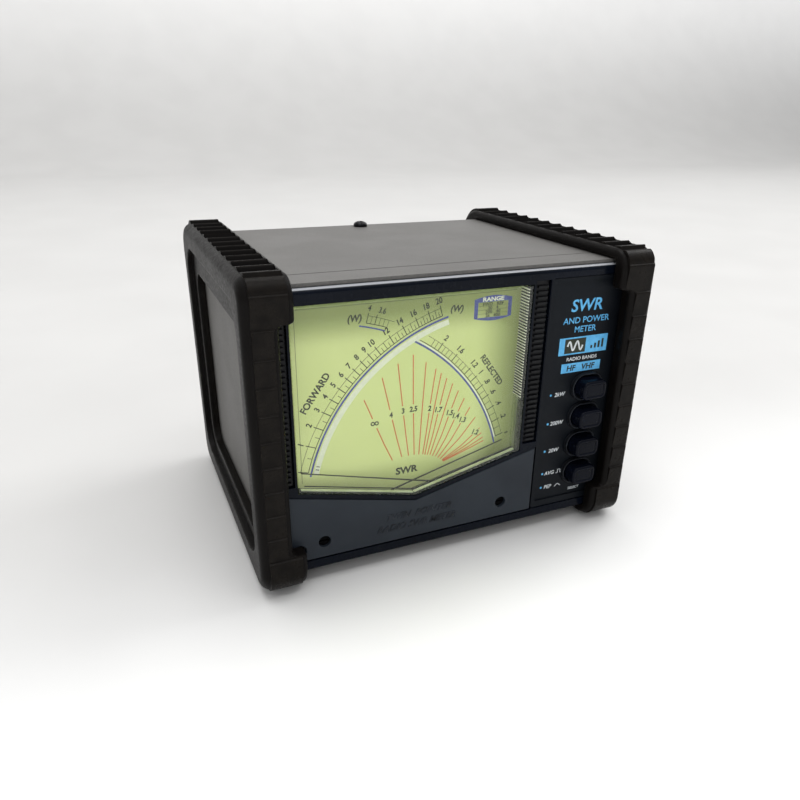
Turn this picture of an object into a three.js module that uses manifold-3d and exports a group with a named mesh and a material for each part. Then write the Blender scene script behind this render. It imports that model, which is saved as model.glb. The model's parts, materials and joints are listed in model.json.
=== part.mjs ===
// Cross-needle SWR and power meter: a sheet-metal case held between two moulded end bumpers, with a
// twin-movement meter, four push buttons on the front and a directional coupler on the rear.
// Millimetres. +X is to the right of someone facing the dial, +Y runs to the rear, +Z is up.
// The origin is on the bench, under the middle of the case.
import * as THREE from "three";
import { mergeVertices } from "three/addons/utils/BufferGeometryUtils.js";
import Module from "manifold-3d";

// ---------------------------------------------------------------- driving dimensions
const GAP = 0.3; // clearance between neighbouring pieces
const HOLE_SEGMENTS = 14;
const CORNER_SEGMENTS = 4;
const ROUND_SEGMENTS = 24;

// end bumpers
const OVERALL_HALF_WIDTH = 82.5;
const BUMPER_WIDTH = 17.5;
const BUMPER_HALF_DEPTH = 67.5;
const BUMPER_HEIGHT = 121.3;
const BUMPER_CORNER = 10;
const BUMPER_EDGE_ROUND = 4.2;
const FOOT_STANDOUT = 1.5;
const FOOT_RADIUS = 5;
const FOOT_SPAN = { x: 73, y: 53 };
const TOP_RIB = { count: 12, pitch: 10.4, drop: 1.8, first: -56.5, outer: 79 };
const FACE_LEDGE = { count: 11, pitch: 9.77, step: 0.8, first: 17.5, outer: 78 };
const SIDE_OPENING = { y: 56.5, bottom: 12.1, top: 112, corner: 13, floor: 79.9 };
const SIDE_LEDGE = { y: 50, bottom: 17.6, top: 101, corner: 8 };
const LIP = { bottomEnd: 18.3, topEnd: 106.6, reliefX: 70.3, corner: 2.5 };
const BUMPER_SCREW = { x: 71.5, low: 15, high: 109, seat: 58.5 };

// sheet-metal case
const CASE_HALF_WIDTH = 76.3;
const SHEET = 1.2;
const CASE_BOTTOM = 6.6;
const CASE_TOP = 117.5;
const COVER_FRONT = -44.3;
const COVER_REAR = 54;
const FRAME_REAR = -44.9;
const FRAME_FRONT = -58.2;
const FRAME_FLANGE = { halfWidth: 72.3, depth: 4 };
const REAR_PANEL = { front: 50.8, rear: 52.3 };
const COVER_SCREW = { x: -0.5, y: 49.2 };

// front bezel
const BEZEL_FRONT = -60.5;
const BEZEL_FLANGE_BACK = -58.5;
const BEZEL_BACK = -55.6;
const BEZEL_BOTTOM = 6.4;
const BEZEL_TOP = 116;
const POCKET_FLOOR = -57.6;
const WINDOW = { left: -65.6, right: 28.5, top: 110.3, corner: 41.1, vertex: 30.1 };
const WINDOW_CENTRE = (WINDOW.left + WINDOW.right) / 2;
const V_SLOPE = (WINDOW.corner - WINDOW.vertex) / (WINDOW.right - WINDOW_CENTRE);
const GRILLE = { offset: 1.5, width: 6.2, bottom: 44, top: 111.6, base: -59.3, thickness: 0.8 };
const GRILLE_FIN = { pitch: 2.13, thickness: 0.9, width: 4.6, front: -60.4 };
const LOWER_COVER = { left: -74.2, right: 36.6, bottom: 10.9, vertex: 27.7 };
const PANEL = { left: 37.3, right: 74.1, bottom: 10.9, top: 111.9, rim: 1.6, sill: 2.9, recess: 0.7 };
const PANEL_FRONT = -60.1;
const ZERO_SCREW = { centre: -17.65, offset: 38.9, z: 17.9, hole: 2.5, head: 2.1, shank: 1.1, front: -59.4 };
const BEZEL_SCREW = { x: -66.4, z: 15.6, hole: 1.4, well: 2.7 };
const BOARD_POST = { x: 47, heights: [19, 71.5], radius: 2.5 };

// push buttons, from the top one down
const BUTTONS = ["button_2kw", "button_200w", "button_20w", "button_average_peak"];
const BUTTON = { x: 59.3, top: 65.5, pitch: 13.2, width: 12, height: 8.6, front: -66.5, back: -57 };
const BUTTON_TRAVEL = 3;
const BUTTON_STEM = 1.8;
const BUTTON_HOLE = { width: 14, height: 10.6, corner: 5.2 };
const COLLAR = {
  bore: { width: 12.7, height: 9.3, corner: 4.5 },
  sleeve: { width: 13.4, height: 10, corner: 4.9, front: -60, back: -56.5 },
  flange: { width: 15.2, height: 11.8, corner: 5.8, front: -61.4, back: -59.7 },
};
const SWITCH = { front: -50, back: -38, width: 11, height: 9.4, bore: 2.2, boreDepth: 7.5 };
const BOARD = { left: 44, right: 72, bottom: 15, top: 76, thickness: 1.6 };

// meter: the two pivots stand below the window, and each needle crosses the dial
const FORWARD_PIVOT = { x: 16, z: 24.8 };
const REFLECTED_PIVOT = { x: -55.2, z: 22.9 };
const NEEDLE = { length: 81.7, restElevation: 15, thickness: 0.4 };
const NEEDLE_SWEEP = 64;
const FORWARD_NEEDLE_FRONT = -54.95;
const REFLECTED_NEEDLE_FRONT = -54.1;
const DIAL = { front: -52.9, thickness: 0.8, margin: 1.4 };
const SKIRT_BACK = -53.2;
const MAGNET = { front: -49.5, back: -38, outer: 9, inner: 7, core: 4.3, halfWeb: 0.7 };
const COIL = { reach: 6.5, wire: 0.9, side: 1.6, halfWidth: 1.1, stub: 0.7, clearance: 1.4, tail: 3 };
const HOUSING = { left: -70.6, right: 33.6, bottom: 12, top: 113.2, front: -55.3, back: -24, wall: 1.2 };

const LAMP = { offset: 30, z: 98, radius: 2.4, back: -40 };

// rear
const COUPLER = { halfWidth: 38, bottom: 32, top: 68, front: 12, back: 50.4, wall: 2 };
const SOCKET = { x: 22, z: 50, radius: 7.9, bore: 6.3, front: 46, rear: 65.5 };
const SOCKET_THREAD = { front: 56.5, turns: 6, depth: 0.5 };
const SOCKET_NUT = { radius: 11, thickness: 3, middle: 54.1 };
const SOCKET_INSULATOR = { front: 48, rear: 59.5, bore: 2.5 };
const SOCKET_CONTACT = { front: 44, rear: 61.8, radius: 2.3, bore: 1.9, boreFront: 53 };
const JACK = { x: -52, z: 26, radius: 5.6, front: 42, face: 54.5, bore: 3.1, boreFloor: 45.5, pin: 1 };

// ---------------------------------------------------------------- solids
const wasm = await Module();
wasm.setup();

function solid(geometry) {
  geometry.deleteAttribute("normal");
  geometry.deleteAttribute("uv");
  const welded = mergeVertices(geometry, 1e-5);
  const vertProperties = Float32Array.from(welded.attributes.position.array);
  const triVerts = Uint32Array.from(welded.index.array);
  const mesh = new wasm.Mesh({ numProp: 3, vertProperties, triVerts });
  mesh.merge();
  return new wasm.Manifold(mesh);
}

function geometryOf(body) {
  const mesh = body.getMesh();
  const geometry = new THREE.BufferGeometry();
  geometry.setAttribute("position", new THREE.BufferAttribute(mesh.vertProperties, 3));
  geometry.setIndex(new THREE.BufferAttribute(mesh.triVerts, 1));
  geometry.computeVertexNormals();
  return geometry;
}

// a block between two corners, each given as [x, y, z]
function block(low, high) {
  const size = high.map((value, i) => value - low[i]);
  const centre = high.map((value, i) => (value + low[i]) / 2);
  return solid(new THREE.BoxGeometry(...size).translate(...centre));
}

// an XZ outline made solid from the plane y = front to the plane y = back
function frontPlate(shape, front, back, options = {}) {
  const settings = { depth: back - front, bevelEnabled: false, curveSegments: CORNER_SEGMENTS, ...options };
  const geometry = new THREE.ExtrudeGeometry(shape, settings);
  return solid(geometry.rotateX(Math.PI / 2).translate(0, back, 0));
}

// a YZ outline made solid from the plane x = low to the plane x = high
function sidePlate(shape, low, high, options = {}) {
  const settings = { depth: high - low, bevelEnabled: false, curveSegments: CORNER_SEGMENTS, ...options };
  const geometry = new THREE.ExtrudeGeometry(shape, settings);
  const turn = new THREE.Matrix4().makeBasis(
    new THREE.Vector3(0, 1, 0),
    new THREE.Vector3(0, 0, 1),
    new THREE.Vector3(1, 0, 0),
  );
  return solid(geometry.applyMatrix4(turn).translate(low, 0, 0));
}

// a cylinder whose axis runs front to back
function rod(centre, radius, front, back, segments = HOLE_SEGMENTS) {
  const geometry = new THREE.CylinderGeometry(radius, radius, back - front, segments);
  return solid(geometry.translate(centre.x, (front + back) / 2, centre.z));
}

// a solid of revolution about a front-to-back axis; the profile holds [radius, y] pairs from axis to axis
function turned(profile, centre, segments = ROUND_SEGMENTS) {
  const points = profile.map(([radius, y]) => new THREE.Vector2(radius, y));
  return solid(new THREE.LatheGeometry(points, segments).translate(centre.x, 0, centre.z));
}

function polygon(points) {
  return new THREE.Shape(points.map(([u, v]) => new THREE.Vector2(u, v)));
}

function roundedRectangle(left, right, bottom, top, radius) {
  const shape = new THREE.Shape();
  shape.absarc(right - radius, bottom + radius, radius, -Math.PI / 2, 0);
  shape.absarc(right - radius, top - radius, radius, 0, Math.PI / 2);
  shape.absarc(left + radius, top - radius, radius, Math.PI / 2, Math.PI);
  shape.absarc(left + radius, bottom + radius, radius, Math.PI, 1.5 * Math.PI);
  shape.closePath();
  return shape;
}

// an oblong or rounded square of the given size, centred on a point of the front
function aroundPoint(centre, { width, height, corner }) {
  const halfWidth = width / 2;
  const halfHeight = height / 2;
  return roundedRectangle(
    centre.x - halfWidth,
    centre.x + halfWidth,
    centre.z - halfHeight,
    centre.z + halfHeight,
    corner,
  );
}

// ---------------------------------------------------------------- scene graph
const meter = new THREE.Group();

const FINISHES = {
  bumper: [0x2b2724, 0.62, 0],
  rubber: [0x161514, 0.85, 0],
  greyPaint: [0x8a8884, 0.7, 0.1],
  navyPlastic: [0x151b26, 0.42, 0],
  slatePlastic: [0x30363e, 0.5, 0],
  blackPlastic: [0x0e0f11, 0.5, 0],
  clear: [0xd8e4c8, 0.08, 0],
  dial: [0xcfdca0, 0.8, 0],
  paleHousing: [0xd9dcc9, 0.7, 0],
  needle: [0x161616, 0.5, 0.2],
  copper: [0xa9653a, 0.4, 0.8],
  magnetSteel: [0x6c6e70, 0.45, 0.9],
  bulb: [0xf4efe0, 0.2, 0],
  board: [0x2f5a34, 0.6, 0],
  castAluminium: [0xa8aaab, 0.45, 0.9],
  nickel: [0xc4c3bd, 0.28, 1],
  insulator: [0xe8e4d6, 0.5, 0],
  brass: [0xc8a558, 0.3, 1],
  blackSteel: [0x1a1a1b, 0.4, 0.7],
};

function add(name, body, finish) {
  const [color, roughness, metalness] = FINISHES[finish];
  const material = new THREE.MeshStandardMaterial({ color, roughness, metalness });
  const mesh = new THREE.Mesh(geometryOf(body), material);
  mesh.name = name;
  meter.add(mesh);
}

// ---------------------------------------------------------------- bumpers and feet
const BUMPER_TOP = FOOT_STANDOUT + BUMPER_HEIGHT;
const BUMPER_INNER = OVERALL_HALF_WIDTH - BUMPER_WIDTH;

function bumperShell() {
  const inset = BUMPER_EDGE_ROUND;
  const profile = roundedRectangle(
    -BUMPER_HALF_DEPTH + inset,
    BUMPER_HALF_DEPTH - inset,
    FOOT_STANDOUT + inset,
    BUMPER_TOP - inset,
    BUMPER_CORNER - inset,
  );
  const rounded = sidePlate(profile, BUMPER_INNER - BUMPER_WIDTH, OVERALL_HALF_WIDTH - inset, {
    bevelEnabled: true,
    bevelThickness: inset,
    bevelSize: inset,
    bevelSegments: 4,
    curveSegments: 6,
  });
  const kept = block([BUMPER_INNER, -100, 0], [100, 100, 200]);
  return rounded.intersect(kept);
}

// the saw-tooth ribs of the top: each rises towards the front, then drops
function topRibCuts() {
  const cuts = [];
  for (let i = 0; i < TOP_RIB.count; i += 1) {
    const face = TOP_RIB.first + i * TOP_RIB.pitch;
    const wedge = polygon([
      [face, BUMPER_TOP - TOP_RIB.drop],
      [face, BUMPER_TOP + 1],
      [face - TOP_RIB.pitch, BUMPER_TOP + 1],
      [face - TOP_RIB.pitch, BUMPER_TOP],
    ]);
    cuts.push(sidePlate(wedge, BUMPER_INNER - 1, TOP_RIB.outer));
  }
  return cuts;
}

// the shallow upward-facing ledges of the front (direction -1) or rear (+1) face
function ledgeCuts(direction) {
  const cuts = [];
  const face = direction * BUMPER_HALF_DEPTH;
  for (let i = 0; i < FACE_LEDGE.count; i += 1) {
    const ledge = FACE_LEDGE.first + i * FACE_LEDGE.pitch;
    const wedge = polygon([
      [face - direction * FACE_LEDGE.step, ledge],
      [face + direction, ledge],
      [face + direction, ledge + FACE_LEDGE.pitch],
      [face, ledge + FACE_LEDGE.pitch],
    ]);
    cuts.push(sidePlate(wedge, BUMPER_INNER - 1, FACE_LEDGE.outer));
  }
  return cuts;
}

function bumperOpenings() {
  const caseRoom = block(
    [BUMPER_INNER - 5, BEZEL_FRONT - GAP, CASE_BOTTOM - 0.5],
    [CASE_HALF_WIDTH + GAP, COVER_REAR + GAP, CASE_TOP + GAP],
  );
  const side = roundedRectangle(
    -SIDE_OPENING.y,
    SIDE_OPENING.y,
    SIDE_OPENING.bottom,
    SIDE_OPENING.top,
    SIDE_OPENING.corner,
  );
  const { y, bottom, top, corner } = SIDE_LEDGE;
  const ledge = roundedRectangle(-y, y, bottom, top, corner);
  const relief = roundedRectangle(BUMPER_INNER - 5, LIP.reliefX, LIP.bottomEnd, LIP.topEnd, LIP.corner);
  return [
    caseRoom,
    sidePlate(side, SIDE_OPENING.floor, OVERALL_HALF_WIDTH + 1),
    sidePlate(ledge, CASE_HALF_WIDTH - 1, SIDE_OPENING.floor + 0.5),
    frontPlate(relief, -BUMPER_HALF_DEPTH - 1, BEZEL_FRONT + 1),
  ];
}

function footPocket(y) {
  const geometry = new THREE.CylinderGeometry(FOOT_RADIUS + GAP, FOOT_RADIUS + GAP, 3, ROUND_SEGMENTS);
  return solid(geometry.rotateX(Math.PI / 2).translate(FOOT_SPAN.x, y, FOOT_STANDOUT - 0.3));
}

function bumperScrewHole(z) {
  const centre = { x: BUMPER_SCREW.x, z };
  const well = rod(centre, 3.6, BUMPER_SCREW.seat, BUMPER_HALF_DEPTH + 1);
  const shank = rod(centre, 1.9, COVER_REAR - 2, BUMPER_SCREW.seat + 0.5);
  return [well, shank];
}

function bumper() {
  const cuts = [
    ...topRibCuts(),
    ...ledgeCuts(-1),
    ...ledgeCuts(1),
    ...bumperOpenings(),
    footPocket(-FOOT_SPAN.y),
    footPocket(FOOT_SPAN.y),
    ...bumperScrewHole(BUMPER_SCREW.low),
    ...bumperScrewHole(BUMPER_SCREW.high),
  ];
  return cuts.reduce((body, cut) => body.subtract(cut), bumperShell());
}

function foot(x, y) {
  const height = FOOT_STANDOUT + 0.9;
  const profile = [
    [0, 0],
    [FOOT_RADIUS - 0.5, 0],
    [FOOT_RADIUS, 0.5],
    [FOOT_RADIUS, height],
    [0, height],
  ].map(([radius, z]) => new THREE.Vector2(radius, z));
  const geometry = new THREE.LatheGeometry(profile, ROUND_SEGMENTS);
  return solid(geometry.rotateX(Math.PI / 2).translate(x, y, 0));
}

const rightBumper = bumper();
add("bumper_right", rightBumper, "bumper");
add("bumper_left", rightBumper.mirror([1, 0, 0]), "bumper");
add("foot_front_left", foot(-FOOT_SPAN.x, -FOOT_SPAN.y), "rubber");
add("foot_front_right", foot(FOOT_SPAN.x, -FOOT_SPAN.y), "rubber");
add("foot_rear_left", foot(-FOOT_SPAN.x, FOOT_SPAN.y), "rubber");
add("foot_rear_right", foot(FOOT_SPAN.x, FOOT_SPAN.y), "rubber");

// ---------------------------------------------------------------- screws
// a pan-head screw with a cross recess, pointing along -Z with its head's underside at z = 0
function panHeadScrew(headRadius, headHeight, shankRadius, shankLength) {
  const profile = [[0, -shankLength], [shankRadius, -shankLength], [shankRadius, 0], [headRadius, 0]];
  const domeSteps = 3;
  for (let i = 0; i <= domeSteps; i += 1) {
    const angle = (i / domeSteps) * (Math.PI / 2);
    const height = headHeight * (0.35 + 0.65 * Math.sin(angle));
    profile.push([i === domeSteps ? 0 : headRadius * Math.cos(angle * 0.92), height]);
  }
  const points = profile.map(([radius, z]) => new THREE.Vector2(radius, z));
  const body = solid(new THREE.LatheGeometry(points, HOLE_SEGMENTS).rotateX(Math.PI / 2));
  const arm = headRadius * 0.5;
  const slot = 0.32;
  const floor = headHeight * 0.45;
  const alongX = block([-arm, -slot, floor], [arm, slot, headHeight + 1]);
  const alongY = block([-slot, -arm, floor], [slot, arm, headHeight + 1]);
  return body.subtract(alongX).subtract(alongY);
}

// turned so that its head faces the rear
function rearScrew(x, z, seat, shankLength) {
  return panHeadScrew(3.1, 2.2, 1.5, shankLength).rotate([-90, 0, 0]).translate([x, seat, z]);
}

function frontScrew(x, z, seat, shankLength) {
  return panHeadScrew(2.2, 1.4, 1.1, shankLength).rotate([90, 0, 0]).translate([x, seat, z]);
}

for (const [side, sign] of [["left", -1], ["right", 1]]) {
  const x = sign * BUMPER_SCREW.x;
  const seat = BUMPER_SCREW.seat + GAP;
  add(`bumper_screw_upper_${side}`, rearScrew(x, BUMPER_SCREW.high, seat, 10), "blackSteel");
  add(`bumper_screw_lower_${side}`, rearScrew(x, BUMPER_SCREW.low, seat, 10), "blackSteel");
}

const coverScrew = panHeadScrew(3.3, 2.4, 1.5, 8);
add("cover_screw", coverScrew.translate([COVER_SCREW.x, COVER_SCREW.y, CASE_TOP + 0.1]), "blackSteel");

// ---------------------------------------------------------------- sheet-metal case
const INNER_HALF_WIDTH = CASE_HALF_WIDTH - SHEET;

function topCover() {
  const outline = roundedRectangle(-CASE_HALF_WIDTH, CASE_HALF_WIDTH, CASE_BOTTOM, CASE_TOP, 2);
  const room = roundedRectangle(-INNER_HALF_WIDTH, INNER_HALF_WIDTH, -10, CASE_TOP - SHEET, 1);
  const shell = frontPlate(outline, COVER_FRONT, COVER_REAR);
  const hollow = frontPlate(room, COVER_FRONT - 1, COVER_REAR + 1);
  const hole = new THREE.CylinderGeometry(1.8, 1.8, 6, HOLE_SEGMENTS).rotateX(Math.PI / 2);
  return shell.subtract(hollow).subtract(solid(hole.translate(COVER_SCREW.x, COVER_SCREW.y, CASE_TOP)));
}

function frontFrame() {
  const outline = roundedRectangle(-CASE_HALF_WIDTH, CASE_HALF_WIDTH, CASE_BOTTOM, CASE_TOP, 2);
  const inner = INNER_HALF_WIDTH;
  const room = roundedRectangle(-inner, inner, CASE_BOTTOM + SHEET, CASE_TOP - SHEET, 1);
  const { halfWidth, depth } = FRAME_FLANGE;
  const flange = roundedRectangle(-halfWidth, halfWidth, CASE_BOTTOM + depth, CASE_TOP - depth, 1);
  const ring = frontPlate(outline, FRAME_FRONT, FRAME_REAR);
  const wall = frontPlate(room, FRAME_FRONT - 1, FRAME_REAR - 1.5);
  return ring.subtract(wall).subtract(frontPlate(flange, FRAME_FRONT - 1, FRAME_REAR + 1));
}

function chassis() {
  const half = INNER_HALF_WIDTH - GAP;
  const rear = REAR_PANEL.front - GAP;
  const tray = block([-half, COVER_FRONT, CASE_BOTTOM], [half, rear, CASE_BOTTOM + 20]);
  const room = block(
    [-half + SHEET, COVER_FRONT - 1, CASE_BOTTOM + SHEET],
    [half - SHEET, rear + 1, CASE_BOTTOM + 30],
  );
  return tray.subtract(room);
}

function rearPanel() {
  const half = INNER_HALF_WIDTH - GAP;
  const outline = roundedRectangle(-half, half, CASE_BOTTOM, CASE_TOP - SHEET - GAP, 1);
  const sheet = frontPlate(outline, REAR_PANEL.front, REAR_PANEL.rear);
  const tab = block(
    [COVER_SCREW.x - 8, COVER_SCREW.y - 5, CASE_TOP - SHEET - GAP - 1.5],
    [COVER_SCREW.x + 8, REAR_PANEL.front + 0.5, CASE_TOP - SHEET - GAP],
  );
  const tapped = new THREE.CylinderGeometry(1.8, 1.8, 12, HOLE_SEGMENTS).rotateX(Math.PI / 2);
  const cuts = [
    solid(tapped.translate(COVER_SCREW.x, COVER_SCREW.y, CASE_TOP - 2)),
    rod({ x: JACK.x, z: JACK.z }, JACK.radius + GAP, 50, 53),
  ];
  for (const sign of [-1, 1]) {
    cuts.push(rod({ x: sign * SOCKET.x, z: SOCKET.z }, SOCKET.radius + GAP, 50, 53, ROUND_SEGMENTS));
    cuts.push(rod({ x: sign * BUMPER_SCREW.x, z: BUMPER_SCREW.low }, 1.8, 50, 53));
    cuts.push(rod({ x: sign * BUMPER_SCREW.x, z: BUMPER_SCREW.high }, 1.8, 50, 53));
  }
  return cuts.reduce((body, cut) => body.subtract(cut), sheet.add(tab));
}

add("top_cover", topCover(), "greyPaint");
add("front_frame", frontFrame(), "greyPaint");
add("chassis_tray", chassis(), "greyPaint");
add("rear_panel", rearPanel(), "greyPaint");

// ---------------------------------------------------------------- front bezel and its inserts
const ZERO_CENTRES = [
  { x: ZERO_SCREW.centre - ZERO_SCREW.offset, z: ZERO_SCREW.z },
  { x: ZERO_SCREW.centre + ZERO_SCREW.offset, z: ZERO_SCREW.z },
];
const BUTTON_CENTRES = BUTTONS.map((name, i) => ({ x: BUTTON.x, z: BUTTON.top - i * BUTTON.pitch }));

// the window's five-sided outline, grown outwards by the given amount
function windowOutline(grow) {
  return polygon([
    [WINDOW.left - grow, WINDOW.corner - grow],
    [WINDOW_CENTRE, WINDOW.vertex - grow],
    [WINDOW.right + grow, WINDOW.corner - grow],
    [WINDOW.right + grow, WINDOW.top + grow],
    [WINDOW.left - grow, WINDOW.top + grow],
  ]);
}

function lowerCoverOutline(grow) {
  const vee = (x) => LOWER_COVER.vertex + grow + V_SLOPE * Math.abs(x - WINDOW_CENTRE);
  return polygon([
    [LOWER_COVER.left - grow, LOWER_COVER.bottom - grow],
    [LOWER_COVER.right + grow, LOWER_COVER.bottom - grow],
    [LOWER_COVER.right + grow, vee(LOWER_COVER.right)],
    [WINDOW_CENTRE, LOWER_COVER.vertex + grow],
    [LOWER_COVER.left - grow, vee(LOWER_COVER.left)],
  ]);
}

const GRILLE_LEFTS = [WINDOW.left - GRILLE.offset - GRILLE.width, WINDOW.right + GRILLE.offset];

function bezelBlank() {
  const round = 1.8;
  const profile = new THREE.Shape();
  profile.moveTo(BEZEL_BACK, CASE_BOTTOM + SHEET + GAP);
  profile.lineTo(BEZEL_BACK, BEZEL_TOP);
  profile.absarc(BEZEL_FRONT + round, BEZEL_TOP - round, round, Math.PI / 2, Math.PI, false);
  profile.lineTo(BEZEL_FRONT, BEZEL_BOTTOM + 0.6);
  profile.lineTo(BEZEL_FRONT + 0.6, BEZEL_BOTTOM);
  profile.lineTo(BEZEL_FLANGE_BACK, BEZEL_BOTTOM);
  profile.lineTo(BEZEL_FLANGE_BACK, CASE_BOTTOM + SHEET + GAP);
  const wide = sidePlate(profile, -CASE_HALF_WIDTH, CASE_HALF_WIDTH);
  const half = INNER_HALF_WIDTH - GAP;
  const sideRoom = [-1, 1].map((sign) => {
    const near = sign * half;
    const far = sign * (CASE_HALF_WIDTH + 5);
    return block([Math.min(near, far), BEZEL_FLANGE_BACK, 0], [Math.max(near, far), 0, 200]);
  });
  return wide.subtract(sideRoom[0]).subtract(sideRoom[1]);
}

function frontBezel() {
  const front = BEZEL_FRONT - 1;
  const through = BEZEL_BACK + 1;
  const panel = roundedRectangle(
    PANEL.left - GAP,
    PANEL.right + GAP,
    PANEL.bottom - GAP,
    PANEL.top + GAP,
    1 + GAP,
  );
  const cuts = [
    frontPlate(windowOutline(GAP), front, through),
    frontPlate(lowerCoverOutline(0.5), front, POCKET_FLOOR),
    frontPlate(panel, front, POCKET_FLOOR),
    rod(BEZEL_SCREW, BEZEL_SCREW.hole, POCKET_FLOOR - 0.5, through),
  ];
  const slotFloor = GRILLE.base + GRILLE.thickness + GAP;
  for (const left of GRILLE_LEFTS) {
    const low = [left - GAP, front, GRILLE.bottom - GAP];
    const high = [left + GRILLE.width + GAP, slotFloor, GRILLE.top + GAP];
    cuts.push(block(low, high));
  }
  for (const centre of ZERO_CENTRES) {
    cuts.push(rod(centre, ZERO_SCREW.hole, POCKET_FLOOR - 0.5, through));
  }
  for (const centre of BUTTON_CENTRES) {
    cuts.push(frontPlate(aroundPoint(centre, BUTTON_HOLE), POCKET_FLOOR - 0.5, through));
  }
  const { x, radius, heights } = BOARD_POST;
  const blank = heights.reduce(
    (body, z) => body.add(rod({ x, z }, radius, BEZEL_BACK - 0.5, SWITCH.back + GAP)),
    bezelBlank(),
  );
  return cuts.reduce((body, cut) => body.subtract(cut), blank);
}

function lowerCover() {
  const bevel = 0.5;
  const plate = frontPlate(lowerCoverOutline(-bevel), BEZEL_FRONT + bevel, POCKET_FLOOR - GAP - bevel, {
    bevelEnabled: true,
    bevelThickness: bevel,
    bevelSize: bevel,
    bevelSegments: 2,
  });
  const holes = ZERO_CENTRES.map((centre) => rod(centre, ZERO_SCREW.hole, BEZEL_FRONT - 1, BEZEL_BACK));
  const screwWell = rod(BEZEL_SCREW, BEZEL_SCREW.well, BEZEL_FRONT - 1, POCKET_FLOOR - 1.2);
  const screwHole = rod(BEZEL_SCREW, BEZEL_SCREW.hole, BEZEL_FRONT, BEZEL_BACK);
  return [...holes, screwWell, screwHole].reduce((body, cut) => body.subtract(cut), plate);
}

function grille(left) {
  const right = left + GRILLE.width;
  const middle = (left + right) / 2;
  const back = GRILLE.base + GRILLE.thickness;
  let body = block([left, GRILLE.base, GRILLE.bottom], [right, back, GRILLE.top]);
  const count = Math.floor((GRILLE.top - GRILLE.bottom - 1) / GRILLE_FIN.pitch);
  for (let i = 0; i < count; i += 1) {
    const z = GRILLE.bottom + 1 + i * GRILLE_FIN.pitch;
    const low = [middle - GRILLE_FIN.width / 2, GRILLE_FIN.front, z];
    const high = [middle + GRILLE_FIN.width / 2, back - GAP, z + GRILLE_FIN.thickness];
    body = body.add(block(low, high));
  }
  return body;
}

function controlPanel() {
  const outline = roundedRectangle(PANEL.left, PANEL.right, PANEL.bottom, PANEL.top, 1);
  const field = roundedRectangle(
    PANEL.left + PANEL.rim,
    PANEL.right - PANEL.rim,
    PANEL.bottom + PANEL.sill,
    PANEL.top - PANEL.rim,
    1,
  );
  const plate = frontPlate(outline, PANEL_FRONT, POCKET_FLOOR - GAP);
  const recessed = plate.subtract(frontPlate(field, PANEL_FRONT - 1, PANEL_FRONT + PANEL.recess));
  const hole = (centre) => frontPlate(aroundPoint(centre, BUTTON_HOLE), PANEL_FRONT - 1, BEZEL_BACK);
  return BUTTON_CENTRES.reduce((body, centre) => body.subtract(hole(centre)), recessed);
}

// a clear moulding: a five-sided front plate with a skirt on its top and side edges
function meterWindow() {
  const plateBack = BEZEL_FRONT + 2;
  const skirt = 1.6;
  const plate = frontPlate(windowOutline(0), BEZEL_FRONT, plateBack);
  const tower = frontPlate(windowOutline(0), plateBack - 0.5, SKIRT_BACK);
  const room = polygon([
    [WINDOW.left + skirt, 0],
    [WINDOW.right - skirt, 0],
    [WINDOW.right - skirt, WINDOW.top - skirt],
    [WINDOW.left + skirt, WINDOW.top - skirt],
  ]);
  return plate.add(tower.subtract(frontPlate(room, plateBack - 1, SKIRT_BACK + 1)));
}

add("front_bezel", frontBezel(), "navyPlastic");
add("lower_bezel_cover", lowerCover(), "slatePlastic");
add("grille_left", grille(GRILLE_LEFTS[0]), "blackPlastic");
add("grille_right", grille(GRILLE_LEFTS[1]), "blackPlastic");
add("control_panel", controlPanel(), "slatePlastic");
add("meter_window", meterWindow(), "clear");
add("bezel_screw", frontScrew(BEZEL_SCREW.x, BEZEL_SCREW.z, POCKET_FLOOR - 1.5, 5.5), "blackSteel");

// ---------------------------------------------------------------- buttons and switches
function buttonCap(centre) {
  const bevel = 0.8;
  const core = { width: BUTTON.width - 2 * bevel, height: BUTTON.height - 2 * bevel, corner: 3.2 };
  const cap = frontPlate(aroundPoint(centre, core), BUTTON.front + bevel, BUTTON.back - bevel, {
    bevelEnabled: true,
    bevelThickness: bevel,
    bevelSize: bevel,
    bevelSegments: 2,
    curveSegments: 5,
  });
  const stemBack = SWITCH.front + SWITCH.boreDepth - BUTTON_TRAVEL - 1;
  return cap.add(rod(centre, BUTTON_STEM, BUTTON.back - 1, stemBack));
}

function collar(centre) {
  const { bore, flange, sleeve } = COLLAR;
  const ring = frontPlate(aroundPoint(centre, flange), flange.front, flange.back);
  const tube = frontPlate(aroundPoint(centre, sleeve), sleeve.front, sleeve.back);
  return ring.add(tube).subtract(frontPlate(aroundPoint(centre, bore), flange.front - 1, sleeve.back + 1));
}

function switchBody(centre) {
  const low = [centre.x - SWITCH.width / 2, SWITCH.front, centre.z - SWITCH.height / 2];
  const high = [centre.x + SWITCH.width / 2, SWITCH.back, centre.z + SWITCH.height / 2];
  const bore = rod(centre, SWITCH.bore, SWITCH.front - 1, SWITCH.front + SWITCH.boreDepth);
  return block(low, high).subtract(bore);
}

BUTTON_CENTRES.forEach((centre, i) => {
  add(BUTTONS[i], buttonCap(centre), "navyPlastic");
  add(BUTTONS[i].replace("button", "collar"), collar(centre), "blackPlastic");
  add(BUTTONS[i].replace("button", "switch"), switchBody(centre), "blackPlastic");
});
const BOARD_FRONT = SWITCH.back + 2 * GAP;
const switchBoard = block(
  [BOARD.left, BOARD_FRONT, BOARD.bottom],
  [BOARD.right, BOARD_FRONT + BOARD.thickness, BOARD.top],
);
add("switch_board", switchBoard, "board");

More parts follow.
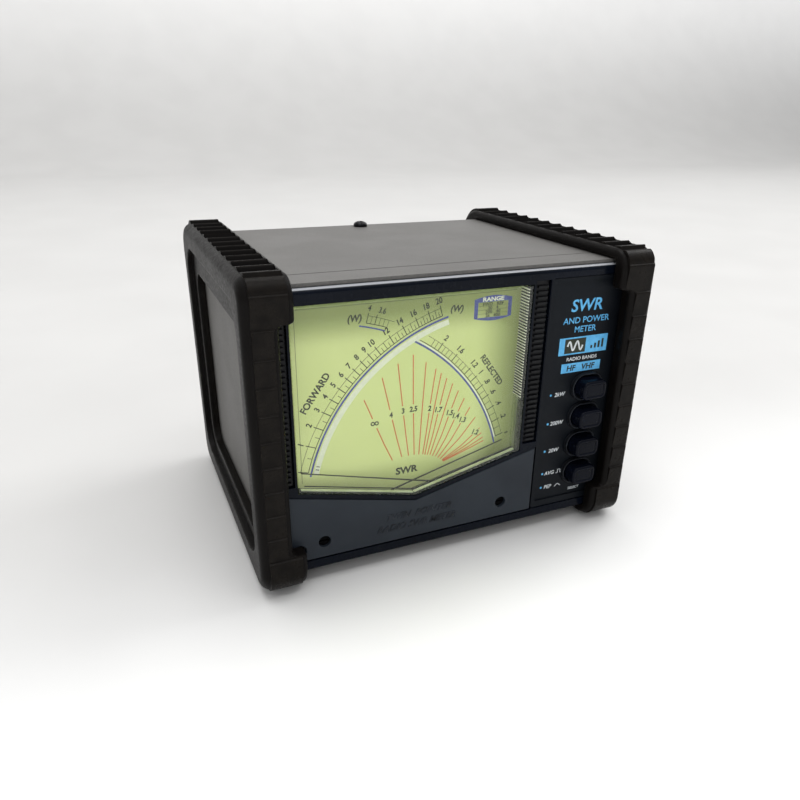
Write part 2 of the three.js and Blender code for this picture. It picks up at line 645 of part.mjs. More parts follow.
// ---------------------------------------------------------------- zero-adjust screws
function zeroScrew(centre) {
  const { head, shank, front } = ZERO_SCREW;
  const step = front + 1.8;
  const end = BEZEL_BACK + 0.1;
  const profile = [[0, front], [head, front], [head, step], [shank, step], [shank, end], [0, end]];
  const { x, z } = centre;
  const slot = block([x - 3, front - 1, z - 0.35], [x + 3, front + 0.7, z + 0.35]);
  return turned(profile, centre).subtract(slot);
}

add("zero_adjust_reflected", zeroScrew(ZERO_CENTRES[0]), "blackPlastic");
add("zero_adjust_forward", zeroScrew(ZERO_CENTRES[1]), "blackPlastic");

// ---------------------------------------------------------------- meter movement
function meterHousing() {
  const { left, right, bottom, top, front, back, wall } = HOUSING;
  const outside = block([left, front, bottom], [right, back, top]);
  const room = block([left + wall, front - 1, bottom + wall], [right - wall, back - wall, top - wall]);
  return outside.subtract(room);
}

function dialPlate() {
  return frontPlate(windowOutline(DIAL.margin), DIAL.front, DIAL.front + DIAL.thickness);
}

// a fixed magnet: a yoke ring, a core and the web that joins them across the angle the coil never reaches
function magnet(pivot, webAngle) {
  const ring = rod(pivot, MAGNET.outer, MAGNET.front, MAGNET.back, ROUND_SEGMENTS);
  const gap = rod(pivot, MAGNET.inner, MAGNET.front - 1, MAGNET.back + 1, ROUND_SEGMENTS);
  const core = rod(pivot, MAGNET.core, MAGNET.front, MAGNET.back, ROUND_SEGMENTS);
  const reach = (MAGNET.outer + MAGNET.inner) / 2;
  const web = block([-reach, MAGNET.front, -MAGNET.halfWeb], [reach, MAGNET.back, MAGNET.halfWeb])
    .rotate([0, -webAngle, 0])
    .translate([pivot.x, 0, pivot.z]);
  return ring.subtract(gap).add(core).add(web);
}

// a rectangular coil that straddles the core, with the two pivot stubs of its former
function coil(pivot, angle, stubFront) {
  const { reach, wire, side, halfWidth, stub, clearance, tail } = COIL;
  const front = MAGNET.front - clearance;
  const back = MAGNET.back + clearance;
  const loop = block([-reach, front, -halfWidth], [reach, back, halfWidth]);
  const inside = reach - side;
  const room = block([-inside, front + wire, -2 * halfWidth], [inside, back - wire, 2 * halfWidth]);
  const origin = { x: 0, z: 0 };
  const frontStub = rod(origin, stub, stubFront, front + wire / 2);
  const backStub = rod(origin, stub, back - wire / 2, back + tail);
  const former = loop.subtract(room).add(frontStub).add(backStub);
  return former.rotate([0, -angle, 0]).translate([pivot.x, 0, pivot.z]);
}

// a tapered pointer on a hub, with a short balancing tail
function needle(pivot, angle, front) {
  const pointer = polygon([
    [-5.2, -0.7],
    [-4.2, -1.1],
    [2, -0.75],
    [NEEDLE.length, -0.22],
    [NEEDLE.length, 0.22],
    [2, 0.75],
    [-4.2, 1.1],
    [-5.2, 0.7],
  ]);
  const blade = frontPlate(pointer, front, front + NEEDLE.thickness);
  const origin = { x: 0, z: 0 };
  const hub = rod(origin, 2, front, front + 0.7);
  const bore = rod(origin, 1, front - 1, front + 2);
  return blade.add(hub).subtract(bore).rotate([0, -angle, 0]).translate([pivot.x, 0, pivot.z]);
}

const FORWARD_REST = 180 - NEEDLE.restElevation;
const REFLECTED_REST = NEEDLE.restElevation;

add("meter_housing", meterHousing(), "paleHousing");
add("dial_plate", dialPlate(), "dial");
add("forward_magnet", magnet(FORWARD_PIVOT, FORWARD_REST - NEEDLE_SWEEP / 2 + 90), "magnetSteel");
add("reflected_magnet", magnet(REFLECTED_PIVOT, REFLECTED_REST + NEEDLE_SWEEP / 2 + 90), "magnetSteel");
add("forward_coil", coil(FORWARD_PIVOT, FORWARD_REST, FORWARD_NEEDLE_FRONT), "copper");
add("reflected_coil", coil(REFLECTED_PIVOT, REFLECTED_REST, REFLECTED_NEEDLE_FRONT), "copper");
add("forward_needle", needle(FORWARD_PIVOT, FORWARD_REST, FORWARD_NEEDLE_FRONT), "needle");
add("reflected_needle", needle(REFLECTED_PIVOT, REFLECTED_REST, REFLECTED_NEEDLE_FRONT), "needle");

function dialLamp(x) {
  const { radius, back, z } = LAMP;
  const profile = [[0, back], [radius, back], [radius, back - 6], [0.8 * radius, back - 8]];
  profile.push([0.4 * radius, back - 9.2], [0, back - 9.6]);
  return turned(profile.reverse(), { x, z }, HOLE_SEGMENTS);
}

add("dial_lamp_left", dialLamp(WINDOW_CENTRE - LAMP.offset), "bulb");
add("dial_lamp_right", dialLamp(WINDOW_CENTRE + LAMP.offset), "bulb");

// ---------------------------------------------------------------- directional coupler and sockets
function couplerBox() {
  const { halfWidth, bottom, top, front, back, wall } = COUPLER;
  const outside = block([-halfWidth, front, bottom], [halfWidth, back, top]);
  const inside = halfWidth - wall;
  const room = block([-inside, front - 1, bottom + wall], [inside, back - wall, top - wall]);
  const holes = [-1, 1].map((sign) => rod({ x: sign * SOCKET.x, z: SOCKET.z }, SOCKET.radius + GAP, 40, 55));
  return outside.subtract(room).subtract(holes[0]).subtract(holes[1]);
}

function socketShell(centre) {
  const thread = [];
  const root = SOCKET.radius - SOCKET_THREAD.depth;
  const pitch = (SOCKET.rear - SOCKET_THREAD.front) / SOCKET_THREAD.turns;
  for (let i = 0; i < SOCKET_THREAD.turns; i += 1) {
    const y = SOCKET_THREAD.front + i * pitch;
    thread.push([root, y], [SOCKET.radius, y + pitch / 2]);
  }
  const profile = [
    [SOCKET.bore, SOCKET.rear],
    [SOCKET.bore, SOCKET.front],
    [root, SOCKET.front],
    ...thread,
    [root, SOCKET.rear],
    [SOCKET.bore, SOCKET.rear],
  ];
  return turned(profile, centre);
}

function socketNut(centre) {
  const { radius, thickness, middle } = SOCKET_NUT;
  const hexagon = new THREE.CylinderGeometry(radius, radius, thickness, 6);
  const bore = rod(centre, SOCKET.radius + GAP, middle - thickness, middle + thickness, ROUND_SEGMENTS);
  return solid(hexagon.translate(centre.x, middle, centre.z)).subtract(bore);
}

function socketInsulator(centre) {
  const { front, rear, bore } = SOCKET_INSULATOR;
  const body = rod(centre, SOCKET.bore - 0.1, front, rear, ROUND_SEGMENTS);
  return body.subtract(rod(centre, bore, front - 1, rear + 1));
}

function socketContact(centre) {
  const { front, rear, radius, bore, boreFront } = SOCKET_CONTACT;
  const outside = [[0, front], [radius, front], [radius, rear]];
  const inside = [[bore, rear], [bore, boreFront], [0, boreFront]];
  return turned([...outside, ...inside], centre, HOLE_SEGMENTS);
}

for (const [label, sign] of [["antenna", -1], ["transmitter", 1]]) {
  const centre = { x: sign * SOCKET.x, z: SOCKET.z };
  add(`${label}_socket_shell`, socketShell(centre), "nickel");
  add(`${label}_socket_nut`, socketNut(centre), "nickel");
  add(`${label}_socket_insulator`, socketInsulator(centre), "insulator");
  add(`${label}_socket_contact`, socketContact(centre), "brass");
}

add("coupler_box", couplerBox(), "castAluminium");
const couplerLid = block(
  [-COUPLER.halfWidth, COUPLER.front - COUPLER.wall, COUPLER.bottom],
  [COUPLER.halfWidth, COUPLER.front - GAP, COUPLER.top],
);
add("coupler_lid", couplerLid, "castAluminium");

function lampPowerJack() {
  const { x, z, radius, front, face, bore, boreFloor, pin } = JACK;
  const neck = radius - 0.6;
  const shoulder = REAR_PANEL.front - 0.8;
  const profile = [
    [0, front],
    [neck, front],
    [neck, shoulder],
    [radius, shoulder],
    [radius, face],
    [bore, face],
    [bore, boreFloor],
    [pin, boreFloor],
    [pin, face - 1.3],
    [0, face - 0.9],
  ];
  return turned(profile, { x, z });
}

add("lamp_power_jack", lampPowerJack(), "blackPlastic");

export default meter;
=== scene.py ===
import json
import math

import bmesh
import bpy
from mathutils import Matrix, Vector


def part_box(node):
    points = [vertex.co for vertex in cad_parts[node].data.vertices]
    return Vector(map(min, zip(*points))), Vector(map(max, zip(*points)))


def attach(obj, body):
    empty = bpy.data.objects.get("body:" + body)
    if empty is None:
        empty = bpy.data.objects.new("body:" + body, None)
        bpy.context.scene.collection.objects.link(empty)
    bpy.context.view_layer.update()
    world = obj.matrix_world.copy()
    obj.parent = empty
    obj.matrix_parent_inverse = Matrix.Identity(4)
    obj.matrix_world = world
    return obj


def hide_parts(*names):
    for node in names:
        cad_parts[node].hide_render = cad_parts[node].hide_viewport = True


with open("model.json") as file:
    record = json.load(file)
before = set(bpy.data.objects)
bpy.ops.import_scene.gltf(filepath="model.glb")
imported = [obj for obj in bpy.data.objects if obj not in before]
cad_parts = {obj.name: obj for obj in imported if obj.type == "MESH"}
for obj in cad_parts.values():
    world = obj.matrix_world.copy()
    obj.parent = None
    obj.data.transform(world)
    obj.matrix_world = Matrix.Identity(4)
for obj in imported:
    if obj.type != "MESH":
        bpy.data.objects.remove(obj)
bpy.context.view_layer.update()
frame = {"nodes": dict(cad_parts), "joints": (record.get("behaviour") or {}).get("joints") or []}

MM = 0.001


def span(node):
    """Lowest and highest corner of a CAD node, in millimetres."""
    low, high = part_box(node)
    return low / MM, high / MM


def middle(node):
    """The centre of a CAD node as seen from the front, as (x, z)."""
    low, high = span(node)
    return (low.x + high.x) / 2, (low.z + high.z) / 2


JOINTS = {joint["name"]: joint for joint in frame["joints"]}


def pivot(joint):
    """Where a front-to-back hinge axis lies, as (x, z)."""
    x, _, z = JOINTS[joint]["pos_m"]
    return x / MM, z / MM


def srgb(red, green, blue):
    """An 8-bit display colour as the linear colour that shaders use."""
    def linear(value):
        share = value / 255
        return share / 12.92 if share <= 0.04045 else ((share + 0.055) / 1.055) ** 2.4
    return (linear(red), linear(green), linear(blue), 1.0)


# ---------------------------------------------------------------- procedural finishes
class Finish:
    """A material with one Principled shader, and short ways to drive it from procedural patterns."""

    def __init__(self, name):
        self.material = bpy.data.materials.new(name)
        self.material.use_nodes = True
        self.tree = self.material.node_tree
        self.shader = self.tree.nodes["Principled BSDF"]

    def add(self, kind, **values):
        node = self.tree.nodes.new("ShaderNode" + kind)
        for key, value in values.items():
            setattr(node, key, value)
        return node

    def link(self, source, target):
        self.tree.links.new(source, target)

    def set(self, **values):
        """Sets plain values on the shader's own sockets, named as in coat_weight=0.3."""
        for key, value in values.items():
            self.shader.inputs[key.replace("_", " ").title().replace("Ior", "IOR")].default_value = value
        return self

    def place(self, stretch=(1, 1, 1)):
        """Points of the object, scaled along each axis."""
        coordinates = self.add("TexCoord")
        mapping = self.add("Mapping")
        mapping.inputs["Scale"].default_value = stretch
        self.link(coordinates.outputs["Object"], mapping.inputs["Vector"])
        return mapping.outputs["Vector"]

    def noise(self, size, detail=3.0, stretch=(1, 1, 1)):
        """Cloudy noise whose features are about size millimetres across."""
        texture = self.add("TexNoise")
        texture.inputs["Scale"].default_value = 1 / (size * MM)
        texture.inputs["Detail"].default_value = detail
        self.link(self.place(stretch), texture.inputs["Vector"])
        return texture.outputs["Fac"]

    def cells(self, size):
        """Distance from the middle of each small cell, for pebbled and hammered surfaces."""
        texture = self.add("TexVoronoi")
        texture.inputs["Scale"].default_value = 1 / (size * MM)
        self.link(self.place(), texture.inputs["Vector"])
        return texture.outputs["Distance"]

    def attribute(self, name):
        """A number stored on the mesh's points."""
        return self.add("Attribute", attribute_name=name).outputs["Fac"]

    def along(self, axis, start, end):
        """0 to 1 as a point goes from start to end millimetres along an axis."""
        split = self.add("SeparateXYZ")
        self.link(self.place(), split.inputs["Vector"])
        return self.between(split.outputs[axis], 0, 1, start * MM, end * MM)

    def between(self, factor, low, high, start=0.3, end=0.7):
        """From low to high, smoothly, as a factor goes from start to end."""
        ranged = self.add("MapRange", interpolation_type="SMOOTHSTEP")
        for socket, value in (("From Min", start), ("From Max", end), ("To Min", low), ("To Max", high)):
            ranged.inputs[socket].default_value = value
        self.link(factor, ranged.inputs["Value"])
        return ranged.outputs["Result"]

    def combine(self, first, second, operation="ADD"):
        """Two numbers or sockets through one arithmetic step, its result kept between 0 and 1."""
        node = self.add("Math", operation=operation, use_clamp=True)
        for index, value in enumerate((first, second)):
            if isinstance(value, float):
                node.inputs[index].default_value = value
            else:
                self.link(value, node.inputs[index])
        return node.outputs["Value"]

    def mix(self, factor, first, second):
        """first where factor is 0, second where it is 1; each is a colour or a socket."""
        node = self.add("Mix", data_type="RGBA")
        self.link(factor, node.inputs[0])
        for index, value in ((6, first), (7, second)):
            if isinstance(value, tuple):
                node.inputs[index].default_value = value
            else:
                self.link(value, node.inputs[index])
        return node.outputs[2]

    def colour(self, socket):
        self.link(socket, self.shader.inputs["Base Color"])
        return self

    def rough(self, socket):
        self.link(socket, self.shader.inputs["Roughness"])
        return self

    def glow(self, socket, strength):
        """Lets the surface give off a little light of a colour."""
        self.link(socket, self.shader.inputs["Emission Color"])
        self.shader.inputs["Emission Strength"].default_value = strength
        return self

    def bump(self, *layers):
        """Each layer is (height socket, height in millimetres)."""
        normal = None
        for height, distance in layers:
            node = self.add("Bump")
            node.inputs["Distance"].default_value = distance * MM
            self.link(height, node.inputs["Height"])
            if normal:
                self.link(normal, node.inputs["Normal"])
            normal = node.outputs["Normal"]
        self.link(normal, self.shader.inputs["Normal"])
        return self


def moulded(name, dark, light, wear_and_sheen_colour, rough, grain, grain_height, gloss=0.0, shine=0.25, painted_highlight_above=None):
    """Moulded plastic: cloudy colour, fine spark-eroded grain, and edges rubbed paler and smoother; the paler
    edge colour is partly wear and partly a painted highlight.

    The last argument is the height in millimetres above which the plastic is painted pale all over, a painted
    highlight.
    """
    finish = Finish(name)
    clouds = finish.noise(24, 3)
    specks = finish.noise(grain * 3, 2)
    body = finish.mix(finish.between(clouds, 0, 1), dark, light)
    # Sharp edges turn paler: partly real wear, partly a painted highlight along each edge, rib and ledge.
    wear_and_sheen = finish.combine(finish.attribute("wear_and_sheen"), finish.between(finish.noise(4, 4), 0.3, 1), "MULTIPLY")
    # Above the given height the plastic is painted pale all over: a painted highlight.
    if painted_highlight_above is not None:
        wear_and_sheen = finish.combine(wear_and_sheen, finish.along("Z", painted_highlight_above, painted_highlight_above + 0.25), "MAXIMUM")
    finish.colour(finish.mix(wear_and_sheen, body, wear_and_sheen_colour))
    dull = finish.combine(finish.between(specks, rough[0], rough[1]), finish.between(clouds, 0.0, 0.04))
    finish.rough(finish.combine(dull, finish.between(wear_and_sheen, 0.0, 0.12, 0, 1), "SUBTRACT"))
    finish.bump((finish.noise(grain, 2), grain_height), (finish.noise(14, 2), 0.02))
    return finish.set(coat_weight=gloss, coat_roughness=0.12, specular_ior_level=shine).material


def painted_metal():
    """Baked grey paint with a fine pebbled texture and faint handling marks."""
    finish = Finish("textured_grey_paint")
    speckle = finish.noise(0.5, 3)
    smudges = finish.noise(28, 5)
    base = finish.mix(finish.between(speckle, 0, 1), srgb(82, 81, 79), srgb(98, 96, 93))
    finish.colour(finish.mix(finish.between(smudges, 0, 0.12), base, srgb(76, 74, 71)))
    finish.rough(finish.between(smudges, 0.5, 0.56))
    finish.bump((finish.noise(0.35, 2), 0.05), (finish.cells(0.8), 0.03))
    return finish.set(specular_ior_level=0.35).material


def printed_dial():
    """Pale yellow-green card, with painted shade towards its top, right and lower edges, where the bezel
    shades it, and a painted glow that brightens it all over.
    """
    finish = Finish("dial_card")
    clouds = finish.noise(30, 3)
    card = finish.mix(finish.between(clouds, 0, 1), srgb(200, 203, 154), srgb(206, 208, 162))
    # Painted shade: the card darkens towards its top, right and lower edges.
    top_shade = finish.along("Z", 92, 105)
    right_shade = finish.along("X", 8, 27)
    low_shade = finish.along("Z", 46, 36)
    shade = finish.combine(finish.combine(top_shade, right_shade), finish.combine(low_shade, 0.5, "MULTIPLY"))
    painted_shade_card = finish.mix(finish.combine(shade, 0.95, "MULTIPLY"), card, srgb(130, 136, 88))
    finish.colour(painted_shade_card)
    finish.rough(finish.between(finish.noise(6, 3), 0.5, 0.62))
    finish.bump((finish.noise(0.4, 2), 0.01))
    # Painted light: the card glows a little.
    finish.glow(painted_shade_card, 0.3)
    return finish.set(specular_ior_level=0.3).material


def ink(name, colour, faded, glow=0.0):
    """Screen-printed ink with slightly uneven cover; where glow is given, the ink gives off a little painted
    light to keep up with the glowing dial card.
    """
    finish = Finish(name)
    cover = finish.noise(1.5, 3)
    tone = finish.mix(finish.between(cover, 0, 1), colour, faded)
    finish.colour(tone)
    if glow:
        finish.glow(tone, glow)
    finish.rough(finish.between(cover, 0.45, 0.6))
    finish.bump((finish.noise(0.5, 2), 0.004))
    return finish.set(specular_ior_level=0.3).material


def metal(name, dark, light, rough, streak=(1, 1, 1), streak_size=0.8, metallic=1.0):
    """Plated or machined metal, with tool marks stretched along one axis and dull patches."""
    finish = Finish(name)
    marks = finish.noise(streak_size, 3, streak)
    patches = finish.noise(6, 4)
    tone = finish.mix(finish.between(marks, 0, 1), dark, light)
    finish.colour(finish.mix(finish.between(patches, 0, 0.35), tone, dark))
    finish.rough(finish.combine(finish.between(patches, rough[0], rough[1]), finish.between(marks, 0, 0.06)))
    finish.bump((marks, 0.012))
    return finish.set(metallic=metallic).material


def winding():
    """Enamelled wire laid side by side across the coil."""
    finish = Finish("enamelled_wire")
    wire = finish.add("TexWave", wave_type="BANDS", bands_direction="Y")
    wire.inputs["Scale"].default_value = 1 / (0.6 * MM)
    wire.inputs["Distortion"].default_value = 0.3
    finish.link(finish.place(), wire.inputs["Vector"])
    finish.colour(finish.mix(wire.outputs["Fac"], srgb(96, 48, 22), srgb(190, 112, 62)))
    finish.rough(finish.between(finish.noise(2, 3), 0.25, 0.4))
    finish.bump((wire.outputs["Fac"], 0.08))
    return finish.set(metallic=0.7).material


def circuit_board():
    """Green solder mask over copper tracks that show as slightly paler bands."""
    finish = Finish("circuit_board_mask")
    tracks = finish.add("TexBrick")
    tracks.inputs["Scale"].default_value = 90
    tracks.inputs["Mortar Size"].default_value = 0.04
    finish.link(finish.place(), tracks.inputs["Vector"])
    copper = finish.mix(tracks.outputs["Fac"], srgb(34, 84, 46), srgb(74, 126, 62))
    finish.colour(finish.mix(finish.between(finish.noise(5, 3), 0, 0.4), copper, srgb(26, 66, 38)))
    finish.rough(finish.between(finish.noise(3, 3), 0.28, 0.42))
    finish.bump((tracks.outputs["Fac"], 0.03))
    return finish.material


def see_through(name, tint, share, rough, mottle):
    """A clear moulding: mostly open, mirroring at a slant, with a faint body of its own."""
    finish = Finish(name)
    streaks = finish.noise(mottle, 3)
    finish.colour(finish.mix(finish.between(streaks, 0, 1), tint, srgb(250, 252, 244)))
    finish.rough(finish.between(streaks, rough, rough + 0.06))
    finish.bump((finish.noise(mottle * 2, 2), 0.01))
    clear = finish.add("BsdfTransparent")
    clear.inputs["Color"].default_value = srgb(246, 250, 238)
    mirror = finish.add("BsdfGlossy")
    mirror.inputs["Roughness"].default_value = rough
    fresnel = finish.add("Fresnel")
    fresnel.inputs["IOR"].default_value = 1.45
    facing = finish.add("NewGeometry")
    outside = finish.combine(1.0, facing.outputs["Backfacing"], "SUBTRACT")
    body = finish.add("MixShader")
    body.inputs[0].default_value = share
    finish.link(clear.outputs[0], body.inputs[1])
    finish.link(finish.shader.outputs[0], body.inputs[2])
    whole = finish.add("MixShader")
    finish.link(finish.combine(fresnel.outputs[0], outside, "MULTIPLY"), whole.inputs[0])
    finish.link(body.outputs[0], whole.inputs[1])
    finish.link(mirror.outputs[0], whole.inputs[2])
    finish.link(whole.outputs[0], finish.tree.nodes["Material Output"].inputs["Surface"])
    return finish.material


def fluted_plastic():
    """Fluted clear plastic seen edge-on: each flute gets one painted highlight stripe and one painted shade
    stripe, and the stripes glow a little, which is painted light.
    """
    finish = Finish("window_flute_plastic")
    bands = finish.add("TexWave", bands_direction="Z")
    bands.inputs["Scale"].default_value = math.pi / (10 * FLUTE_PITCH * MM)
    finish.link(finish.place(), bands.inputs["Vector"])
    # Painted highlight and painted shade: pale and dark stripes in turn up the flutes.
    light = finish.between(bands.outputs["Fac"], 0, 1, 0.35, 0.6)
    haze = finish.between(finish.noise(9, 3), 0.0, 0.4)
    pale = finish.mix(haze, srgb(222, 222, 214), srgb(186, 186, 174))
    painted_stripes = finish.mix(light, srgb(22, 22, 20), pale)
    finish.colour(painted_stripes)
    finish.glow(painted_stripes, 0.2)
    finish.rough(finish.between(finish.noise(2, 2), 0.12, 0.2))
    finish.bump((finish.noise(1, 2), 0.01))
    return finish.set(specular_ior_level=0.4).material


def bulb_glass():
    """A clear bulb with a warm, slightly cloudy glow towards its tip."""
    finish = Finish("bulb_glass")
    tip = finish.along("Y", -44, -49)
    finish.colour(finish.mix(tip, srgb(120, 112, 96), srgb(252, 244, 214)))
    finish.rough(finish.between(finish.noise(2, 3), 0.06, 0.16))
    finish.bump((finish.noise(1.2, 2), 0.01))
    return finish.set(transmission_weight=0.4).material


FLUTE_PITCH = 1.15
# Each moulded plastic has a dark and a light tone, the colour of its edges, which is partly wear and partly a
# painted highlight, and its roughness range.
BUMPER = moulded(
    "bumper_plastic", srgb(12, 10, 9), srgb(16, 14, 13), srgb(25, 22, 19), (0.34, 0.44),
    grain=0.45, grain_height=0.05, shine=0.06,
)
RUBBER = moulded(
    "foot_rubber", srgb(18, 17, 16), srgb(26, 25, 24), srgb(44, 42, 40), (0.7, 0.85),
    grain=0.5, grain_height=0.06,
)
# The navy bezel's pale edge colour paints a highlight along its top edge.
NAVY = moulded(
    "navy_bezel_plastic", srgb(6, 10, 18), srgb(9, 14, 24), srgb(150, 152, 156), (0.2, 0.28),
    grain=0.9, grain_height=0.012, gloss=0.08, shine=0.05, painted_highlight_above=span("front_bezel")[1].z - 0.55,
)
SLATE = moulded(
    "slate_plastic", srgb(31, 36, 43), srgb(39, 45, 52), srgb(80, 88, 98), (0.36, 0.46),
    grain=0.4, grain_height=0.03, shine=0.2,
)
PANEL = moulded(
    "panel_plastic", srgb(12, 15, 20), srgb(17, 21, 26), srgb(58, 66, 76), (0.4, 0.5),
    grain=0.4, grain_height=0.03, shine=0.1,
)
BLACK = moulded(
    "black_plastic", srgb(8, 9, 11), srgb(14, 15, 18), srgb(44, 48, 54), (0.32, 0.42),
    grain=0.5, grain_height=0.02, shine=0.16,
)
BUTTON = moulded(
    "button_plastic", srgb(5, 7, 15), srgb(8, 11, 21), srgb(15, 19, 31), (0.12, 0.18),
    grain=0.8, grain_height=0.006, gloss=0.1, shine=0.03,
)
GREY_PAINT = painted_metal()
DIAL = printed_dial()
BLACK_INK = ink("black_ink", srgb(24, 28, 20), srgb(40, 46, 32))
# The blue, red and pale inks glow a little, which is painted light; the pale ink of the mirror band stands in
# for what the mirror reflects, a painted reflection.
BLUE_INK = ink("blue_ink", srgb(58, 64, 168), srgb(74, 82, 186), 0.1)
RED_INK = ink("orange_red_ink", srgb(208, 88, 48), srgb(214, 106, 62), 0.12)
PALE_INK = ink("pale_mirror_ink", srgb(232, 228, 236), srgb(224, 220, 230), 0.2)
CYAN_INK = ink("light_blue_ink", srgb(96, 178, 226), srgb(84, 164, 214))
WHITE_INK = ink("white_ink", srgb(214, 218, 220), srgb(190, 196, 200))
WINDOW = see_through("window_plastic", srgb(228, 234, 214), 0.02, 0.03, 20)
WINDOW_EDGE = see_through("window_edge_plastic", srgb(150, 156, 128), 0.1, 0.05, 12)
# The lip's pale, mostly solid body is a painted highlight along the window's lower edges.
WINDOW_LIP_HIGHLIGHT = see_through("window_lip_plastic", srgb(222, 227, 202), 0.8, 0.05, 12)
WINDOW_FLUTES = fluted_plastic()
HOUSING = moulded(
    "housing_plastic", srgb(198, 202, 178), srgb(214, 218, 194), srgb(228, 230, 214), (0.5, 0.6),
    grain=0.6, grain_height=0.02,
)
NICKEL = metal("nickel_plate", srgb(150, 148, 142), srgb(206, 204, 198), (0.18, 0.3), (1, 6, 1))
BRASS = metal("plated_brass", srgb(150, 118, 56), srgb(214, 178, 98), (0.2, 0.32), (1, 6, 1))
STEEL = metal("magnet_steel", srgb(92, 94, 96), srgb(140, 142, 144), (0.35, 0.5), (1, 0.2, 1))
CAST = metal("cast_aluminium", srgb(138, 140, 142), srgb(180, 182, 184), (0.42, 0.58), (1, 1, 1), 1.4)
BLACK_STEEL = metal("black_zinc_steel", srgb(20, 20, 21), srgb(44, 44, 46), (0.26, 0.4), (1, 1, 1), 0.6)
NEEDLE = metal("needle_paint", srgb(14, 15, 12), srgb(24, 25, 21), (0.5, 0.6), (1, 1, 1), 0.7, 0.0)
SCREW_PLASTIC = moulded(
    "zero_screw_plastic", srgb(4, 4, 5), srgb(8, 8, 9), srgb(11, 11, 12), (0.6, 0.7),
    grain=0.5, grain_height=0.01, shine=0.03,
)
INSULATOR = moulded(
    "white_insulator", srgb(222, 218, 206), srgb(234, 231, 222), srgb(242, 240, 234), (0.35, 0.45),
    grain=0.7, grain_height=0.01,
)
WIRE = winding()
BOARD = circuit_board()
BULB = bulb_glass()


# ---------------------------------------------------------------- mesh helpers
def show(name, data):
    """A new object of some mesh, lettering, light or camera data, put into the scene."""
    made = bpy.data.objects.new(name, data)
    bpy.context.scene.collection.objects.link(made)
    return made


def mark_wear(mesh):
    """Stores how sharp each outer edge is, so that a finish can rub it paler and paint a highlight along it.
    """
    layer = mesh.verts.layers.float.new("wear_and_sheen")
    for vertex in mesh.verts:
        sharpest = max([0.0, *(edge.calc_face_angle_signed(0.0) for edge in vertex.link_edges)])
        vertex[layer] = min(1.0, max(0.0, math.degrees(sharpest) - 16) / 30)


def piece(name, mesh, material, body="case", replaces=(), crease=32):
    """Turns a bmesh in millimetres into a shown piece that rides on a body."""
    bmesh.ops.remove_doubles(mesh, verts=mesh.verts, dist=1e-4)
    bmesh.ops.recalc_face_normals(mesh, faces=mesh.faces)
    mark_wear(mesh)
    data = bpy.data.meshes.new(name)
    mesh.to_mesh(data)
    mesh.free()
    data.transform(Matrix.Scale(MM, 4))
    data.materials.append(material)
    data.shade_smooth()
    data.set_sharp_from_angle(angle=math.radians(crease))
    made = show(name, data)
    made.modifiers.new("even_shading", "WEIGHTED_NORMAL").keep_sharp = True
    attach(made, body)
    if replaces:
        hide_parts(*replaces)
    return made


def loft(mesh, loops, join_ends=False, cap_ends=False):
    """Skins closed loops of points, in order; the last may join the first, or both ends may be filled."""
    rows = [[mesh.verts.new(point) for point in loop] for loop in loops]
    pairs = list(zip(rows, rows[1:]))
    if join_ends:
        pairs.append((rows[-1], rows[0]))
    for row, following in pairs:
        for i in range(len(row)):
            j = (i + 1) % len(row)
            mesh.faces.new((row[i], row[j], following[j], following[i]))
    if cap_ends:
        mesh.faces.new(rows[0])
        mesh.faces.new(reversed(rows[-1]))


def circle(centre, radius, y, count=48):
    """A ring of points about a front-to-back axis."""
    x, z = centre
    turns = [2 * math.pi * i / count for i in range(count)]
    return [(x + radius * math.cos(turn), y, z + radius * math.sin(turn)) for turn in turns]


def lathe(mesh, centre, profile, count=48, closed=True):
    """Turns (radius, y) pairs about a front-to-back axis; an open profile is capped at both ends."""
    loops = [circle(centre, radius, y, count) for radius, y in profile]
    loft(mesh, loops, join_ends=closed, cap_ends=not closed)


def turned(name, centre, profile, material, replaces=(), count=48, closed=True):
    """A shown piece made of one lathed profile."""
    mesh = bmesh.new()
    lathe(mesh, centre, profile, count, closed)
    piece(name, mesh, material, replaces=replaces)


def oblong(centre, width, height, corner, y, steps=8):
    """A rounded rectangle that faces the front, as points in order."""
    x, z = centre
    points = []
    for quarter, (side, up) in enumerate(((1, 1), (-1, 1), (-1, -1), (1, -1))):
        for step in range(steps + 1):
            turn = math.radians(90 * quarter + 90 * step / steps)
            across = x + side * (width / 2 - corner) + corner * math.cos(turn)
            above = z + up * (height / 2 - corner) + corner * math.sin(turn)
            points.append((across, y, above))
    return points


def subtract(made, cutter_mesh):
    """Cuts a bmesh in millimetres out of a shown piece, and puts the result in its mesh."""
    data = bpy.data.meshes.new("cutter")
    bmesh.ops.recalc_face_normals(cutter_mesh, faces=cutter_mesh.faces)
    cutter_mesh.to_mesh(data)
    cutter_mesh.free()
    data.transform(Matrix.Scale(MM, 4))
    cutter = show("cutter", data)
    cut = made.modifiers.new("cut", "BOOLEAN")
    cut.operation = "DIFFERENCE"
    cut.solver = "EXACT"
    cut.object = cutter
    made.modifiers.move(len(made.modifiers) - 1, 0)
    shading = made.modifiers["even_shading"]
    shading.show_viewport = False
    result = bpy.data.meshes.new_from_object(made.evaluated_get(bpy.context.evaluated_depsgraph_get()))
    shading.show_viewport = True
    made.modifiers.remove(cut)
    made.data = result
    bpy.data.objects.remove(cutter)


def refine(node, material, bevel=0.25, crease=32, segments=2):
    """Gives a CAD node its finish, slightly rounded edges and smooth curved faces."""
    made = frame["nodes"][node]
    data = made.data
    data.materials.clear()
    data.materials.append(material)
    if "custom_normal" in data.attributes:
        data.attributes.remove(data.attributes["custom_normal"])
    data.shade_smooth()
    weld = made.modifiers.new("weld", "WELD")
    weld.merge_threshold = 0.002 * MM
    if bevel:
        rounding = made.modifiers.new("rounded_edges", "BEVEL")
        rounding.width = bevel * MM
        rounding.segments = segments
        rounding.limit_method = "ANGLE"
        rounding.angle_limit = math.radians(crease)
    made.modifiers.new("even_shading", "WEIGHTED_NORMAL").keep_sharp = True


